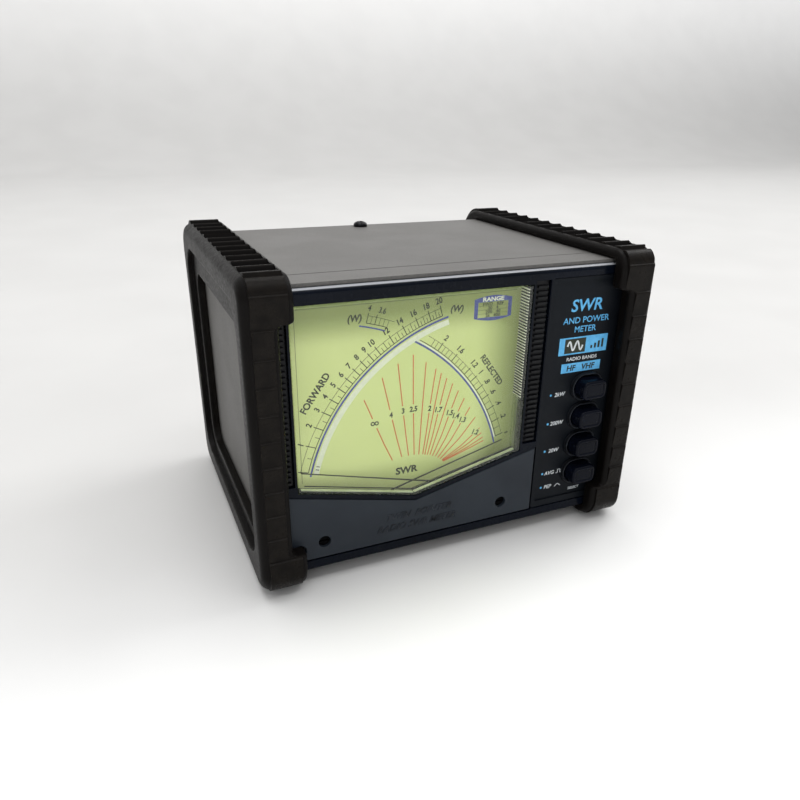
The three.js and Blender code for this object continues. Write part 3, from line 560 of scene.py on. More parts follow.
# ---------------------------------------------------------------- end bumpers
# The right bumper's shape; the left one is its mirror image. Openings are (front, rear, low, high, corner).
BUMPER_LOW, BUMPER_HIGH = span("bumper_right")
CORNERS = {"front_top": 8.0, "rear_top": 13.0, "rear_bottom": 10.0, "front_bottom": 10.0}
RIB_PITCH = 9.53
RIBS = {"faces": [-60.5 + RIB_PITCH * i for i in range(13)], "drop": 1.8}
LEDGES = {"starts": [17.5 + 9.77 * i for i in range(10)] + [116.5, 126.3], "step": 0.8}
INNER_BAND = {"fall": 0.9, "radius": 2.0}
OUTER_EDGE = 4.2
OUTER_FALL = 1.0
FLANK_X = 79.4
LIP_BOTTOM = 18.3
LIP_TOP = 106.6
LIP_REACH = 5.3
LIP_BENDS = {"outer": 1.2, "inner": 2.5}
FRONT_EDGE = -56.5
CASE_ROOM = (-60.8, 54.3, 6.1, 117.8, 1.5)
SIDE_OPENING = (-56.5, 56.5, 12.1, 112, 13)
SIDE_LEDGE = (-50, 50, 17.6, 101, 8)
SHADING_CREASE = 38


def softened(depth, at, reach=0.28):
    """A stepped surface's depth averaged over a short stretch, which rounds its edges."""
    return sum(depth(at + reach * k / 4) for k in range(-4, 5)) / 9


def rib_depth(y):
    """How far the top lies below its highest line: each rib falls towards the rear, then steps up."""
    for face in RIBS["faces"]:
        if face - RIB_PITCH < y <= face:
            return RIBS["drop"] * (y - face + RIB_PITCH) / RIB_PITCH
    return 0.0


def ledge_depth(z):
    """How far the front or rear lies behind its foremost line."""
    for start, end in zip(LEDGES["starts"], LEDGES["starts"][1:]):
        if start <= z < end:
            return LEDGES["step"] * (end - z) / (end - start)
    return 0.0


def stations(low, high, places, offsets):
    """Sorted places along a straight side, with extra ones around each edge."""
    found = {low, high}
    for place in places:
        found.update(place + offset for offset in offsets if low < place + offset < high)
    return sorted(found)


EDGE_OFFSETS = (-1.4, -0.5, -0.28, -0.1, 0.1, 0.28, 0.5, 1.4)
NOTCH_OFFSETS = (-2.5, -1.2, -0.6, -0.2, -0.02, 0.02, 0.2, 0.6, 1.2, 2.5)
CORNER_ANGLES = (
    2, 4.5, 8, 10.3, 11.6, 13, 14.3, 17, 22, 30, 38, 45, 52, 60, 68, 75, 80.8, 82.1, 83.5, 84.8, 88
)
FRONT_RUN = (BUMPER_LOW.z + CORNERS["front_bottom"], BUMPER_HIGH.z - CORNERS["rear_top"])
TOP_RUN = (BUMPER_LOW.y + CORNERS["front_bottom"], BUMPER_HIGH.y - CORNERS["rear_top"])
FRONT_STATIONS = sorted(
    set(stations(*FRONT_RUN, LEDGES["starts"], EDGE_OFFSETS))
    | set(stations(*FRONT_RUN, (LIP_BOTTOM, LIP_TOP), NOTCH_OFFSETS))
)
TOP_STATIONS = stations(*TOP_RUN, RIBS["faces"], EDGE_OFFSETS)


def stretch_to(at, run, low, high):
    """A station moved onto a shorter straight side; on a longer one it stays where it is."""
    if low <= run[0] and high >= run[1]:
        return at
    return low + (at - run[0]) * (high - low) / (run[1] - run[0])


def outline(y_low, y_high, z_low, z_high, corners):
    """A rounded rectangle in the YZ plane, with the same number of points whatever its size."""
    if not isinstance(corners, dict):
        corners = dict.fromkeys(CORNERS, corners)
    turns = [math.radians(angle) for angle in CORNER_ANGLES]

    def side(places, run, low, high, low_corner, high_corner):
        ends = (low + corners[low_corner], high - corners[high_corner])
        return [ends[0], *(stretch_to(at, run, *ends) for at in places), ends[1]]

    def corner(name, y_sign, z_sign, reverse):
        radius = corners[name]
        y = (y_low if y_sign < 0 else y_high) - y_sign * radius
        z = (z_low if z_sign < 0 else z_high) - z_sign * radius
        points = [(y + y_sign * radius * math.cos(t), z + z_sign * radius * math.sin(t)) for t in turns]
        return points[::-1] if reverse else points

    upright = (FRONT_STATIONS, FRONT_RUN, z_low, z_high)
    level = (TOP_STATIONS, TOP_RUN, y_low, y_high)
    front = [(y_low, z) for z in side(*upright, "front_bottom", "front_top")]
    top = [(y, z_high) for y in side(*level, "front_top", "rear_top")]
    rear = [(y_high, z) for z in side(*upright, "rear_bottom", "rear_top")]
    bottom = [(y, z_low) for y in side(*level, "front_bottom", "rear_bottom")]
    return [
        *front, *corner("front_top", -1, 1, False),
        *top, *corner("rear_top", 1, 1, True),
        *rear[::-1], *corner("rear_bottom", 1, -1, False),
        *bottom[::-1], *corner("front_bottom", -1, -1, True),
    ]


def band(inset, fall=0.0, step=0.0):
    """The bumper's outline set in evenly, with its top lowered by fall and its front and rear by step."""
    return outline(
        BUMPER_LOW.y + step + inset,
        BUMPER_HIGH.y - step - inset,
        BUMPER_LOW.z + inset,
        BUMPER_HIGH.z - fall - inset,
        {name: radius - inset for name, radius in CORNERS.items()},
    )


def grown(opening, grow):
    """The outline of one of the openings, wider by grow all round."""
    front, rear, low, high, corner = opening
    return outline(front - grow, rear + grow, low - grow, high + grow, corner + grow)


def cut_back(y, z):
    """A point of the outer skin, moved in to the ribs of the top and the ledges of the front and rear."""
    ledge = softened(ledge_depth, z)
    y = min(max(y, BUMPER_LOW.y + ledge), BUMPER_HIGH.y - ledge)
    return y, min(z, BUMPER_HIGH.z - softened(rib_depth, y))


def relief(y, z):
    """How far the front's inner edge stands back from the lips at its two ends, at a height."""
    outer_bend, inner_bend = LIP_BENDS["outer"], LIP_BENDS["inner"]
    if y > FRONT_EDGE or not LIP_BOTTOM - outer_bend < z < LIP_TOP + outer_bend:
        return 0.0
    inside = min(z - LIP_BOTTOM, LIP_TOP - z)
    if inside < 0:
        return outer_bend - math.sqrt(max(0.0, outer_bend**2 - (inside + outer_bend) ** 2))
    if inside < inner_bend:
        return LIP_REACH - inner_bend + math.sqrt(inner_bend**2 - (inner_bend - inside) ** 2)
    return LIP_REACH


def bumper_section():
    """The section from the case side round the outside and back, as (outline, x, cut, follows lip)."""
    inner = BUMPER_LOW.x
    radius = INNER_BAND["radius"]
    section = [
        (grown(CASE_ROOM, 0), 76.6, False, False),
        (grown(CASE_ROOM, 0), inner + 1.0, False, True),
        (grown(CASE_ROOM, 0.3), inner + 0.3, False, True),
        (grown(CASE_ROOM, 1.0), inner, False, True),
    ]
    for turn in (0, 20, 40, 60, 80, 90):
        angle = math.radians(turn)
        shape = band(radius * (1 - math.sin(angle)), INNER_BAND["fall"], LEDGES["step"])
        section.append((shape, inner + radius * (1 - math.cos(angle)), False, True))
    section += [(band(0), inner + radius + 0.1, True, True), (band(0), FLANK_X, True, False)]
    for turn in range(0, 91, 10):
        angle = math.radians(turn)
        shape = band(OUTER_EDGE * (1 - math.cos(angle)), OUTER_FALL, LEDGES["step"])
        x = max(FLANK_X + 0.1, BUMPER_HIGH.x - OUTER_EDGE + OUTER_EDGE * math.sin(angle))
        section.append((shape, x, False, False))
    steps = (
        (SIDE_OPENING, 0.9, 82.5),
        (SIDE_OPENING, 0.25, 82.25),
        (SIDE_OPENING, 0.0, 81.6),
        (SIDE_OPENING, 0.0, 80.4),
        (SIDE_OPENING, -0.14, 80.05),
        (SIDE_OPENING, -0.5, 79.9),
        (SIDE_LEDGE, 0.7, 79.9),
        (SIDE_LEDGE, 0.2, 79.7),
        (SIDE_LEDGE, 0.0, 79.2),
        (SIDE_LEDGE, 0.0, 76.6),
    )
    return section + [(grown(opening, grow), x, False, False) for opening, grow, x in steps]


def bumper(name, side):
    """One end bumper; side is 1 on the right and -1 on the left."""
    loops = []
    for points, x, cut, follows_lip in bumper_section():
        loop = []
        for y, z in points:
            inward = relief(y, z) if follows_lip else 0.0
            if cut:
                y, z = cut_back(y, z)
            loop.append((side * (x + inward), y, z))
        loops.append(loop)
    mesh = bmesh.new()
    loft(mesh, loops, join_ends=True)
    made = piece(name, mesh, BUMPER, replaces=[name], crease=SHADING_CREASE)
    wells = bmesh.new()
    for height in ("upper", "lower"):
        screw = name.replace("bumper", f"bumper_screw_{height}")
        profile = [(1.9, 50), (1.9, 58.5), (3.3, 58.5), (3.6, 58.8), (3.6, 66.2), (4.4, 68.5)]
        lathe(wells, middle(screw), profile, 40, False)
    subtract(made, wells)
    made.data.set_sharp_from_angle(angle=math.radians(SHADING_CREASE))


# ---------------------------------------------------------------- screws and feet
def pan_head(name, seat, axis, radius, height, shank, length):
    """A pan-head screw with a cross recess; its head sits at a point and faces along axis."""
    mesh = bmesh.new()
    dome = [(radius * math.cos(t), height * (0.3 + 0.7 * math.sin(t))) for t in (0, 0.35, 0.7, 1.0, 1.25)]
    profile = [(shank, -length), (shank, 0), (radius, 0), *dome, (0.12 * radius, height)]
    lathe(mesh, (0, 0), profile, 40, False)
    turn = Vector((0, 1, 0)).rotation_difference(Vector(axis)).to_matrix().to_4x4()
    place = Matrix.Translation(seat) @ turn
    mesh.transform(place)
    made = piece(name, mesh, BLACK_STEEL, replaces=[name])
    recess = bmesh.new()
    loft(recess, [cross(0.36 * radius, height * 0.4), cross(0.58 * radius, height * 1.3)], cap_ends=True)
    recess.transform(place)
    subtract(made, recess)


def cross(reach, y):
    """The outline of a cross recess at one depth."""
    arm = 0.24 * reach
    quarter = [(arm, arm), (arm, reach), (-arm, reach)]
    points = []
    for turn in range(4):
        cosine, sine = math.cos(math.radians(90 * turn)), math.sin(math.radians(90 * turn))
        points += [(x * cosine - z * sine, y, x * sine + z * cosine) for x, z in quarter]
    return points


def foot(name):
    """A round rubber foot with a rolled lower edge and a shallow hollow underneath."""
    low, high = span(name)
    centre = ((low.x + high.x) / 2, (low.y + high.y) / 2)
    radius = (high.x - low.x) / 2
    rings = ((radius * 0.55, 0.35), (radius * 0.62, 0.02), (radius - 0.6, 0.0), (radius - 0.15, 0.15))
    profile = [*rings, (radius, 0.5), (radius, high.z)]
    turns = [2 * math.pi * i / 48 for i in range(48)]
    loops = [
        [(centre[0] + r * math.cos(t), centre[1] + r * math.sin(t), z) for t in turns] for r, z in profile
    ]
    mesh = bmesh.new()
    loft(mesh, loops, cap_ends=True)
    piece(name, mesh, RUBBER, replaces=[name])


def bumpers_feet_and_screws():
    """Both end bumpers, the four feet, the four bumper screws and the cover's screw."""
    bumper("bumper_right", 1)
    bumper("bumper_left", -1)
    for end in ("front", "rear"):
        for side in ("left", "right"):
            foot(f"foot_{end}_{side}")
    for height in ("upper", "lower"):
        for side in ("left", "right"):
            name = f"bumper_screw_{height}_{side}"
            x, z = middle(name)
            pan_head(name, (x, 58.8, z), (0, 1, 0), radius=3.1, height=2.2, shank=1.5, length=10)
    low, high = span("cover_screw")
    seat = ((low.x + high.x) / 2, (low.y + high.y) / 2, 117.6)
    pan_head("cover_screw", seat, (0, 0, 1), radius=3.3, height=2.4, shank=1.5, length=8)


# ---------------------------------------------------------------- buttons
BUTTONS = ("button_2kw", "button_200w", "button_20w", "button_average_peak")
BUTTON_CORNER = 2.9
BUTTON_EDGE = 1.0
BUTTON_BACK = -57.0
BUTTON_STEM = 1.8
BUTTON_DISH = ((1.45, 0.02), (1.6, 0.1), (1.75, 0.32), (1.9, 0.42), (2.3, 0.36), (2.8, 0.33))
COLLAR_CORNER = 5.8
# How much wider the collar is than its CAD node, and at what depth, from its sleeve round to its bore.
COLLAR_PROFILE = (
    (-1.8, -56.6), (-1.8, -59.8), (0.0, -59.8), (0.0, -60.6), (-0.12, -61.05), (-0.4, -61.32),
    (-0.8, -61.4), (-1.3, -61.3), (-1.9, -60.9), (-2.3, -60.5), (-2.5, -60.2), (-2.5, -56.6),
)


def button(name):
    """An oblong cap with rolled edges and a dished face, on a round stem."""
    low, high = span(name)
    centre = middle(name.replace("button", "collar"))
    width = high.x - low.x
    height = high.z - low.z

    def ring(inset, corner, y):
        return oblong(centre, width - 2 * inset, height - 2 * inset, corner, y)

    loops = [circle(centre, BUTTON_STEM, y, 36) for y in (high.y, BUTTON_BACK)]
    loops += [ring(0.3, BUTTON_CORNER - 0.3, BUTTON_BACK), ring(0, BUTTON_CORNER, BUTTON_BACK - 0.4)]
    for turn in range(0, 91, 15):
        angle = math.radians(turn)
        inset = BUTTON_EDGE * (1 - math.cos(angle)) + 0.2
        y = low.y + BUTTON_EDGE * (1 - math.sin(angle))
        loops.append(ring(inset, max(1.4, BUTTON_CORNER - inset), y))
    for inset, depth in BUTTON_DISH:
        loops.append(ring(inset, max(0.5, 2.6 - inset), low.y + depth))
    mesh = bmesh.new()
    loft(mesh, loops, cap_ends=True)
    piece(name, mesh, BUTTON, body=name, replaces=[name], crease=40)


def collar(name):
    """The raised oblong ring round a button, with a rolled lip and a sleeve behind it."""
    low, high = span(name)
    width = high.x - low.x
    height = high.z - low.z
    loops = [
        oblong(middle(name), width + grow, height + grow, COLLAR_CORNER + grow / 2, y)
        for grow, y in COLLAR_PROFILE
    ]
    mesh = bmesh.new()
    loft(mesh, loops, join_ends=True)
    piece(name, mesh, BLACK, replaces=[name])


# ---------------------------------------------------------------- printing
class Print:
    """Thin raised ink on a plane that faces the front."""

    def __init__(self, plane, lift=0.03):
        self.mesh = bmesh.new()
        self.front = plane - lift
        self.back = plane + 0.02

    def patch(self, points):
        """A filled outline of (x, z) points."""
        loops = [[(x, y, z) for x, z in points] for y in (self.front, self.back)]
        loft(self.mesh, loops, cap_ends=True)

    def ribbon(self, points, width):
        """A line of even width through (x, z) points."""
        slices = []
        for i, (x, z) in enumerate(points):
            before = points[max(i - 1, 0)]
            after = points[min(i + 1, len(points) - 1)]
            run = Vector((after[0] - before[0], after[1] - before[1])).normalized() * width / 2
            left, right = (x - run.y, z + run.x), (x + run.y, z - run.x)
            corners = ((left, self.front), (right, self.front), (right, self.back), (left, self.back))
            slices.append([(u, y, v) for (u, v), y in corners])
        loft(self.mesh, slices, cap_ends=True)

    def arc(self, centre, radius, start, end, width):
        """A line of even width along an arc, in steps of 18 degrees or less."""
        count = max(3, int(abs(end - start) / 18), int(abs(end - start) * radius / 60))
        turns = [start + (end - start) * i / count for i in range(count + 1)]
        self.ribbon([polar(centre, radius, turn) for turn in turns], width)

    def tick(self, centre, angle, inner, outer, width):
        """A short line along a radius."""
        self.ribbon([polar(centre, inner, angle), polar(centre, outer, angle)], width)

    def dot(self, x, z, radius):
        self.patch([polar((x, z), radius, 360 * i / 16) for i in range(16)])

    def word(self, text, x, z, height, turn=0.0, squeeze=1.0, slant=0.0, bold=0.0):
        """Lettering centred on a point, its capitals height millimetres tall."""
        font = bpy.data.curves.new("word", "FONT")
        font.body = text
        font.size = height / 0.73
        font.extrude = (self.back - self.front) / 2
        font.offset = bold
        font.shear = slant
        font.resolution_u = 3
        holder = show("word", font)
        data = bpy.data.meshes.new_from_object(holder.evaluated_get(bpy.context.evaluated_depsgraph_get()))
        bpy.data.objects.remove(holder)
        xs = [vertex.co.x for vertex in data.vertices]
        middle = Vector(((min(xs) + max(xs)) / 2, height / 2, 0))
        data.transform(Matrix.Translation(-middle))
        data.transform(Matrix.Scale(squeeze, 4, (1, 0, 0)))
        stand = Matrix.Rotation(math.radians(90), 4, "X")
        spin = Matrix.Rotation(math.radians(-turn), 4, "Y")
        depth = (self.front + self.back) / 2
        data.transform(Matrix.Translation((x, depth, z)) @ spin @ stand)
        self.mesh.from_mesh(data)
        bpy.data.meshes.remove(data)

    def finish(self, name, material, slot):
        piece(name, self.mesh, material)


def polar(centre, radius, angle):
    """A point at some distance and angle from a centre, as (x, z)."""
    turn = math.radians(angle)
    return centre[0] + radius * math.cos(turn), centre[1] + radius * math.sin(turn)


# ---------------------------------------------------------------- dial printing
class Scale:
    """One power scale: the angle of a needle for a power, on a square-root law that eases near zero."""

    def __init__(self, centre, zero, sweep, full, knee):
        self.centre = centre
        self.zero = zero
        self.sweep = sweep
        self.full = full
        self.knee = knee

    def angle(self, power):
        start = math.sqrt(self.knee)
        share = (math.sqrt(power + self.knee) - start) / (math.sqrt(self.full + self.knee) - start)
        return self.zero + self.sweep * share


FORWARD = Scale(pivot("forward_needle_swing"), 165.3, -59.2, 20.0, 0.65)
REFLECTED = Scale(pivot("reflected_needle_swing"), 16.6, 59.4, 4.0, 0.6)
FORWARD_RADII = {"mirror": 75.0, "blue": 77.0, "inner": 78.2, "outer": 81.3, "major": 82.3, "label": 84.4}
REFLECTED_RADII = {"mirror": 79.1, "blue": 78.4, "inner": 79.7, "outer": 82.6, "major": 83.3, "label": 85.6}
FORWARD_LABELS = (1, 2, 3, 4, 5, 6, 7, 8, 9, 10, 12, 14, 16, 18, 20)
REFLECTED_LABELS = (0.2, 0.4, 0.6, 0.8, 1, 1.2, 1.6, 2)
REFLECTED_END = 59.4
OVERRANGE_RADII = {"blue": 78.3, "inner": 79.7, "outer": 82.4, "major": 83.4, "label": 85.3}
OVERRANGE_START = 70.1


def label(value):
    """A number as a dial shows it, such as .4 or 1.2."""
    return f"{value:g}".lstrip("0") or "0"


def forward_scale(black):
    """The left scale, 0 to 20, with a mark at each half."""
    radii = FORWARD_RADII
    centre = FORWARD.centre
    end = FORWARD.angle(20)
    black.arc(centre, radii["inner"], FORWARD.zero, end, 0.3)
    black.arc(centre, radii["outer"], FORWARD.zero, end, 0.16)
    for step in range(41):
        power = step / 2
        whole = power == int(power)
        named = power in FORWARD_LABELS or power == 0
        reach = radii["major"] if named else radii["outer"] if whole else radii["outer"] - 1.2
        black.tick(centre, FORWARD.angle(power), radii["inner"], reach, 0.34 if named else 0.22)
    for value in FORWARD_LABELS:
        angle = FORWARD.angle(value)
        x, z = polar(centre, radii["label"], angle)
        black.word(str(value), x, z, height=2.3, turn=angle - 90, squeeze=0.88, slant=0.06, bold=0.1)
    black.dot(-62.6, 45.4, 0.35)
    black.word("FORWARD", *polar(centre, 88.4, 144.4), height=2.7, turn=54.6, squeeze=0.94, bold=0.12)
    black.word("(W)", 0.4, 102.3, height=2.5, turn=-4, squeeze=0.95, slant=0.2, bold=0.12)


def reflected_scale(black):
    """The right scale up to where the forward scale starts, with a mark at each tenth."""
    radii = REFLECTED_RADII
    centre = REFLECTED.centre
    black.arc(centre, radii["inner"], REFLECTED.zero, REFLECTED_END, 0.3)
    black.arc(centre, radii["outer"], REFLECTED.zero, REFLECTED_END - 1.6, 0.16)
    for step in range(23):
        power = step / 10
        angle = REFLECTED.angle(power)
        named = any(abs(power - value) < 0.01 for value in (0, *REFLECTED_LABELS))
        if angle < REFLECTED_END:
            reach = radii["major"] if named else radii["outer"]
            black.tick(centre, angle, radii["inner"], reach, 0.34 if named else 0.2)
    for value in REFLECTED_LABELS:
        angle = REFLECTED.angle(value)
        x, z = polar(centre, radii["label"], angle)
        black.word(label(value), x, z, height=2.3, turn=angle - 90, squeeze=0.9, slant=0.06, bold=0.1)
    black.word(
        "0", *polar(centre, 84.9, REFLECTED.zero - 0.4),
        height=1.6, turn=REFLECTED.zero - 90, squeeze=0.8, bold=0.07,
    )
    black.word("REFLECTED", *polar(centre, 89.6, 36.0), height=2.5, turn=-54, squeeze=0.92, bold=0.1)


def reflected_overrange(black, blue):
    """The reflected scale's last stretch, which lies beyond the forward scale."""
    centre = REFLECTED.centre
    radii = OVERRANGE_RADII
    start, end = OVERRANGE_START, REFLECTED.angle(4)
    black.arc(centre, radii["inner"], start, end, 0.28)
    black.arc(centre, radii["outer"], start - 1.6, end, 0.16)
    for step in range(6):
        angle = start + (end - start) * step / 5
        named = step in (3, 5)
        reach = radii["major"] if named else radii["outer"]
        black.tick(centre, angle, radii["inner"], reach, 0.28 if named else 0.15)
    for text, angle, turn in (("3.6", 72.6, -17), ("4", 76.0, -14)):
        black.word(
            text, *polar(centre, radii["label"], angle),
            height=2.1, turn=turn, squeeze=0.8, slant=0.08, bold=0.09,
        )
    black.word("(W)", -40.3, 102.5, height=2.5, squeeze=0.95, slant=0.2, bold=0.12)
    blue.arc(centre, radii["blue"], 70.3, 77.8, 0.55)


def crossing(forward_angle, reflected_angle):
    """The point where the two needles cross."""
    fx, fz = FORWARD.centre
    rx, rz = REFLECTED.centre
    f, r = math.radians(forward_angle), math.radians(reflected_angle)
    along = ((fx - rx) * math.sin(r) - (fz - rz) * math.cos(r)) / math.sin(f - r)
    return fx + along * math.cos(f), fz + along * math.sin(f)


SWR_FLOOR = {"x": -18.5, "z": 35.5, "across": 16.5, "above": 8.4}
SWR_LABEL_ARC = {"centre": (-17.5, 28.0), "radius": 36.0}
SWR_VALUES = (8.5, 4, 3, 2.5, 2.2, 2, 1.9, 1.8, 1.7, 1.6, 1.5, 1.4, 1.3, 1.2, 1.15, 1.1, 1.05)
# The number printed on each labelled line; the line with no number has the sign for infinity.
SWR_LABELS = {
    8.5: "", 4: "4", 3: "3", 2.5: "2.5", 2: "2", 1.8: "1.7", 1.6: "1.5", 1.5: "1.4", 1.4: "1.3",
    1.2: "1.2", 1.1: "1.1",
}
SWR_REACH = {"forward": 70.8, "reflected": 74.0}


def swr_line(value):
    """The points where the needles cross at one standing-wave ratio, inside the two scales."""
    ratio = ((value - 1) / (value + 1)) ** 2
    floor = SWR_FLOOR
    points = []
    for step in range(1, 400):
        power = 0.1 * step
        x, z = crossing(FORWARD.angle(power), REFLECTED.angle(power * ratio))
        across, above = (x - floor["x"]) / floor["across"], (z - floor["z"]) / floor["above"]
        over_floor = across**2 + above**2 > 1 and above > 0
        in_forward = math.dist((x, z), FORWARD.centre) < SWR_REACH["forward"]
        in_reflected = math.dist((x, z), REFLECTED.centre) < SWR_REACH["reflected"]
        if over_floor and in_forward and in_reflected:
            points.append((x, z))
    return points


def swr_fan(red, black):
    """The fan of lines of one standing-wave ratio each, broken where their numbers stand."""
    centre, radius = SWR_LABEL_ARC["centre"], SWR_LABEL_ARC["radius"]
    for value in SWR_VALUES:
        points = swr_line(value)
        gap = 1.7 if value in SWR_LABELS else 0.0
        below = [p for p in points if math.dist(p, centre) < radius - gap]
        above = [p for p in points if math.dist(p, centre) > radius + gap]
        if gap and below and above:
            runs = (below, above)
            x, z = ((below[-1][i] + above[0][i]) / 2 for i in (0, 1))
            text = SWR_LABELS[value]
            if text:
                black.word(
                    text, x, z,
                    height=2.2, turn=-0.6 * (x - centre[0]), squeeze=0.9, slant=0.06, bold=0.11,
                )
            else:
                for offset in (-0.8, 0.8):
                    black.arc((x + offset, z), 0.66, 0, 360, 0.45)
        else:
            runs = (points,)
        for run in runs:
            if len(run) > 1:
                red.ribbon([run[0], run[len(run) // 2], run[-1]] if len(run) > 2 else run, 0.42)
    black.word("SWR", -19.2, 38.0, height=3.0, squeeze=1.08, bold=0.16)


RANGE_TABLE = {"left": 7.7, "right": 24.1, "low": 97.3, "high": 104.8, "bulge": 1.2, "border": 1.6}
RANGE_ROWS = ("FWD   REF", "20   4", "200   40", "2k   400")


def range_table(blue, card, text, pale):
    """A small barrel-shaped table of the three ranges in the upper right of the dial."""
    table = RANGE_TABLE
    width = table["right"] - table["left"]

    def edge(z, rise):
        return [(table["left"] + width * i / 12, z + rise * math.sin(math.pi * i / 12)) for i in range(13)]

    blue.patch(edge(table["high"], table["bulge"]) + edge(table["low"], -table["bulge"])[::-1])
    left, right = table["left"] + table["border"], table["right"] - table["border"]
    low, high = table["low"] + 0.2, table["high"] - 1.3
    card.patch(rectangle(left, right, low, high))
    pitch = (high - low) / len(RANGE_ROWS)
    for i, row in enumerate(RANGE_ROWS):
        z = high - pitch * (i + 0.5)
        text.word(row, (left + right) / 2, z, height=1.2, squeeze=1.2, bold=0.05)
        if i:
            text.ribbon([(left, z + pitch / 2), (right, z + pitch / 2)], 0.1)
    pale.word("RANGE", (left + right) / 2, table["high"] - 0.2, height=1.6, squeeze=1.3, bold=0.08)


DIAL_FRAME = {"inset": 3.4, "drop": 3.0, "right": 2.4, "low": 40.5, "width": 0.14}
DIAL_LOWER_LINES = (((-61.5, 39.3), (-15.6, 28.4)), ((-15.6, 28.4), (30.2, 39.4)))
ZERO_MARKS = (164.2, 163.2)


def print_dial():
    """Everything printed on the dial; what lies on other ink stands a little further forward."""
    plane = span("dial_plate")[0].y
    black, blue, red = Print(plane), Print(plane), Print(plane)
    pale = Print(plane, 0.025)
    over_blue = Print(plane, 0.045)
    card = Print(plane, 0.045)
    over_card = Print(plane, 0.06)
    forward_scale(black)
    reflected_scale(black)
    reflected_overrange(black, blue)
    blue.arc(FORWARD.centre, FORWARD_RADII["blue"], FORWARD.zero + 1.2, 104.4, 0.75)
    blue.arc(REFLECTED.centre, REFLECTED_RADII["blue"], REFLECTED.zero - 1.8, 60.6, 0.7)
    pale.arc(FORWARD.centre, FORWARD_RADII["mirror"], FORWARD.zero + 0.6, 104.6, 2.1)
    pale.arc(REFLECTED.centre, REFLECTED_RADII["mirror"], REFLECTED.zero, 60.2, 0.5)
    swr_fan(red, black)
    range_table(blue, card, over_card, over_blue)
    low, high = span("meter_window")
    left, top = low.x + DIAL_FRAME["inset"], high.z - DIAL_FRAME["drop"]
    right = high.x - DIAL_FRAME["right"]
    black.ribbon([(left, DIAL_FRAME["low"]), (left, top)], DIAL_FRAME["width"])
    black.ribbon([(left, top), (right, top)], DIAL_FRAME["width"])
    for line in DIAL_LOWER_LINES:
        black.ribbon(line, 0.45)
    for angle in ZERO_MARKS:
        black.tick(FORWARD.centre, angle, 74.3, 75.7, 0.35)
    black.finish("dial_print_black", BLACK_INK, "dial")
    blue.finish("dial_print_blue", BLUE_INK, "dial")
    red.finish("dial_print_swr_lines", RED_INK, "dial")
    pale.finish("dial_print_mirror_band", PALE_INK, "dial")
    over_blue.finish("dial_print_range_title", PALE_INK, "dial")
    card.finish("dial_print_range_card", DIAL, "dial")
    over_card.finish("dial_print_range_rows", BLACK_INK, "dial")


# ---------------------------------------------------------------- control-panel printing
# Each word's place across and up, height, squeeze, slant and boldness.
PANEL_TITLE = (
    ("SWR", 55.4, 100.5, 5.0, 1.05, 0.12, 0.12),
    ("AND POWER", 55.8, 94.4, 2.6, 1.05, 0.0, 0.03),
    ("METER", 55.8, 90.6, 2.6, 1.0, 0.0, 0.03),
)
PANEL_WORDS = (
    ("RADIO BANDS", 55.8, 78.1, 1.5, 1.12, 0.0, 0.03),
    ("2kW", 46.9, 63.2, 1.8, 1.0, 0.15, 0.04),
    ("200W", 46.9, 50.2, 1.8, 1.0, 0.15, 0.04),
    ("20W", 46.9, 37.3, 1.8, 1.0, 0.15, 0.04),
    ("AVG", 45.9, 26.4, 1.8, 1.0, 0.15, 0.04),
    ("PEP", 45.9, 19.6, 1.8, 1.0, 0.15, 0.04),
    ("POWER", 61.0, 30.7, 1.3, 1.0, 0.1, 0.04),
    ("SELECT", 60.0, 16.3, 1.3, 1.0, 0.1, 0.04),
)
PANEL_DOTS = (63.2, 50.2, 37.3, 26.4, 19.6)
PULSE = ((49.4, 25.6), (50.3, 25.6), (50.3, 27.2), (51.6, 27.2), (51.6, 25.6), (52.6, 25.6))


def rectangle(left, right, low, high):
    return [(left, low), (right, low), (right, high), (left, high)]


def print_panel():
    """The panel's title, its two blue fields with a wave and a row of bars, and the button names."""
    plane = span("control_panel")[0].y + 0.7
    cyan, white, dark = Print(plane), Print(plane), Print(plane, 0.05)
    wave = Print(plane, 0.07)
    cyan.patch(rectangle(43.9, 67.6, 80.0, 87.3))
    cyan.patch(rectangle(46.1, 65.5, 72.2, 76.2))
    dark.patch(rectangle(46.6, 56.8, 80.6, 86.7))
    for i in range(4):
        left = 59.4 + 1.8 * i
        dark.patch(rectangle(left, left + 1.0, 81.7, 83.0 + 0.8 * i))
    shares = [i / 24 for i in range(25)]
    wave.ribbon([(48.0 + 7.4 * t, 83.65 + 1.9 * math.sin(4 * math.pi * t)) for t in shares], 0.75)
    for printed, words in ((cyan, PANEL_TITLE), (white, PANEL_WORDS)):
        for text, x, z, height, squeeze, slant, bold in words:
            printed.word(text, x, z, height=height, squeeze=squeeze, slant=slant, bold=bold)
    dark.word("HF   VHF", 55.8, 74.2, height=2.4, squeeze=1.1, slant=0.1, bold=0.11)
    for z in PANEL_DOTS:
        cyan.dot(42.4, z, 0.5)
    for start, end in zip(PULSE, PULSE[1:]):
        white.ribbon([start, end], 0.3)
    bell = [(49.4 + 0.2 * i, 18.9 + 1.1 * math.sin(math.pi * i / 16) ** 2) for i in range(17)]
    white.ribbon(bell, 0.3)
    cyan.finish("panel_print_light_blue", CYAN_INK, "slate_plastic")
    white.finish("panel_print_white", WHITE_INK, "slate_plastic")
    dark.finish("panel_print_dark", BLACK_INK, "slate_plastic")
    wave.finish("panel_print_wave", WHITE_INK, "slate_plastic")


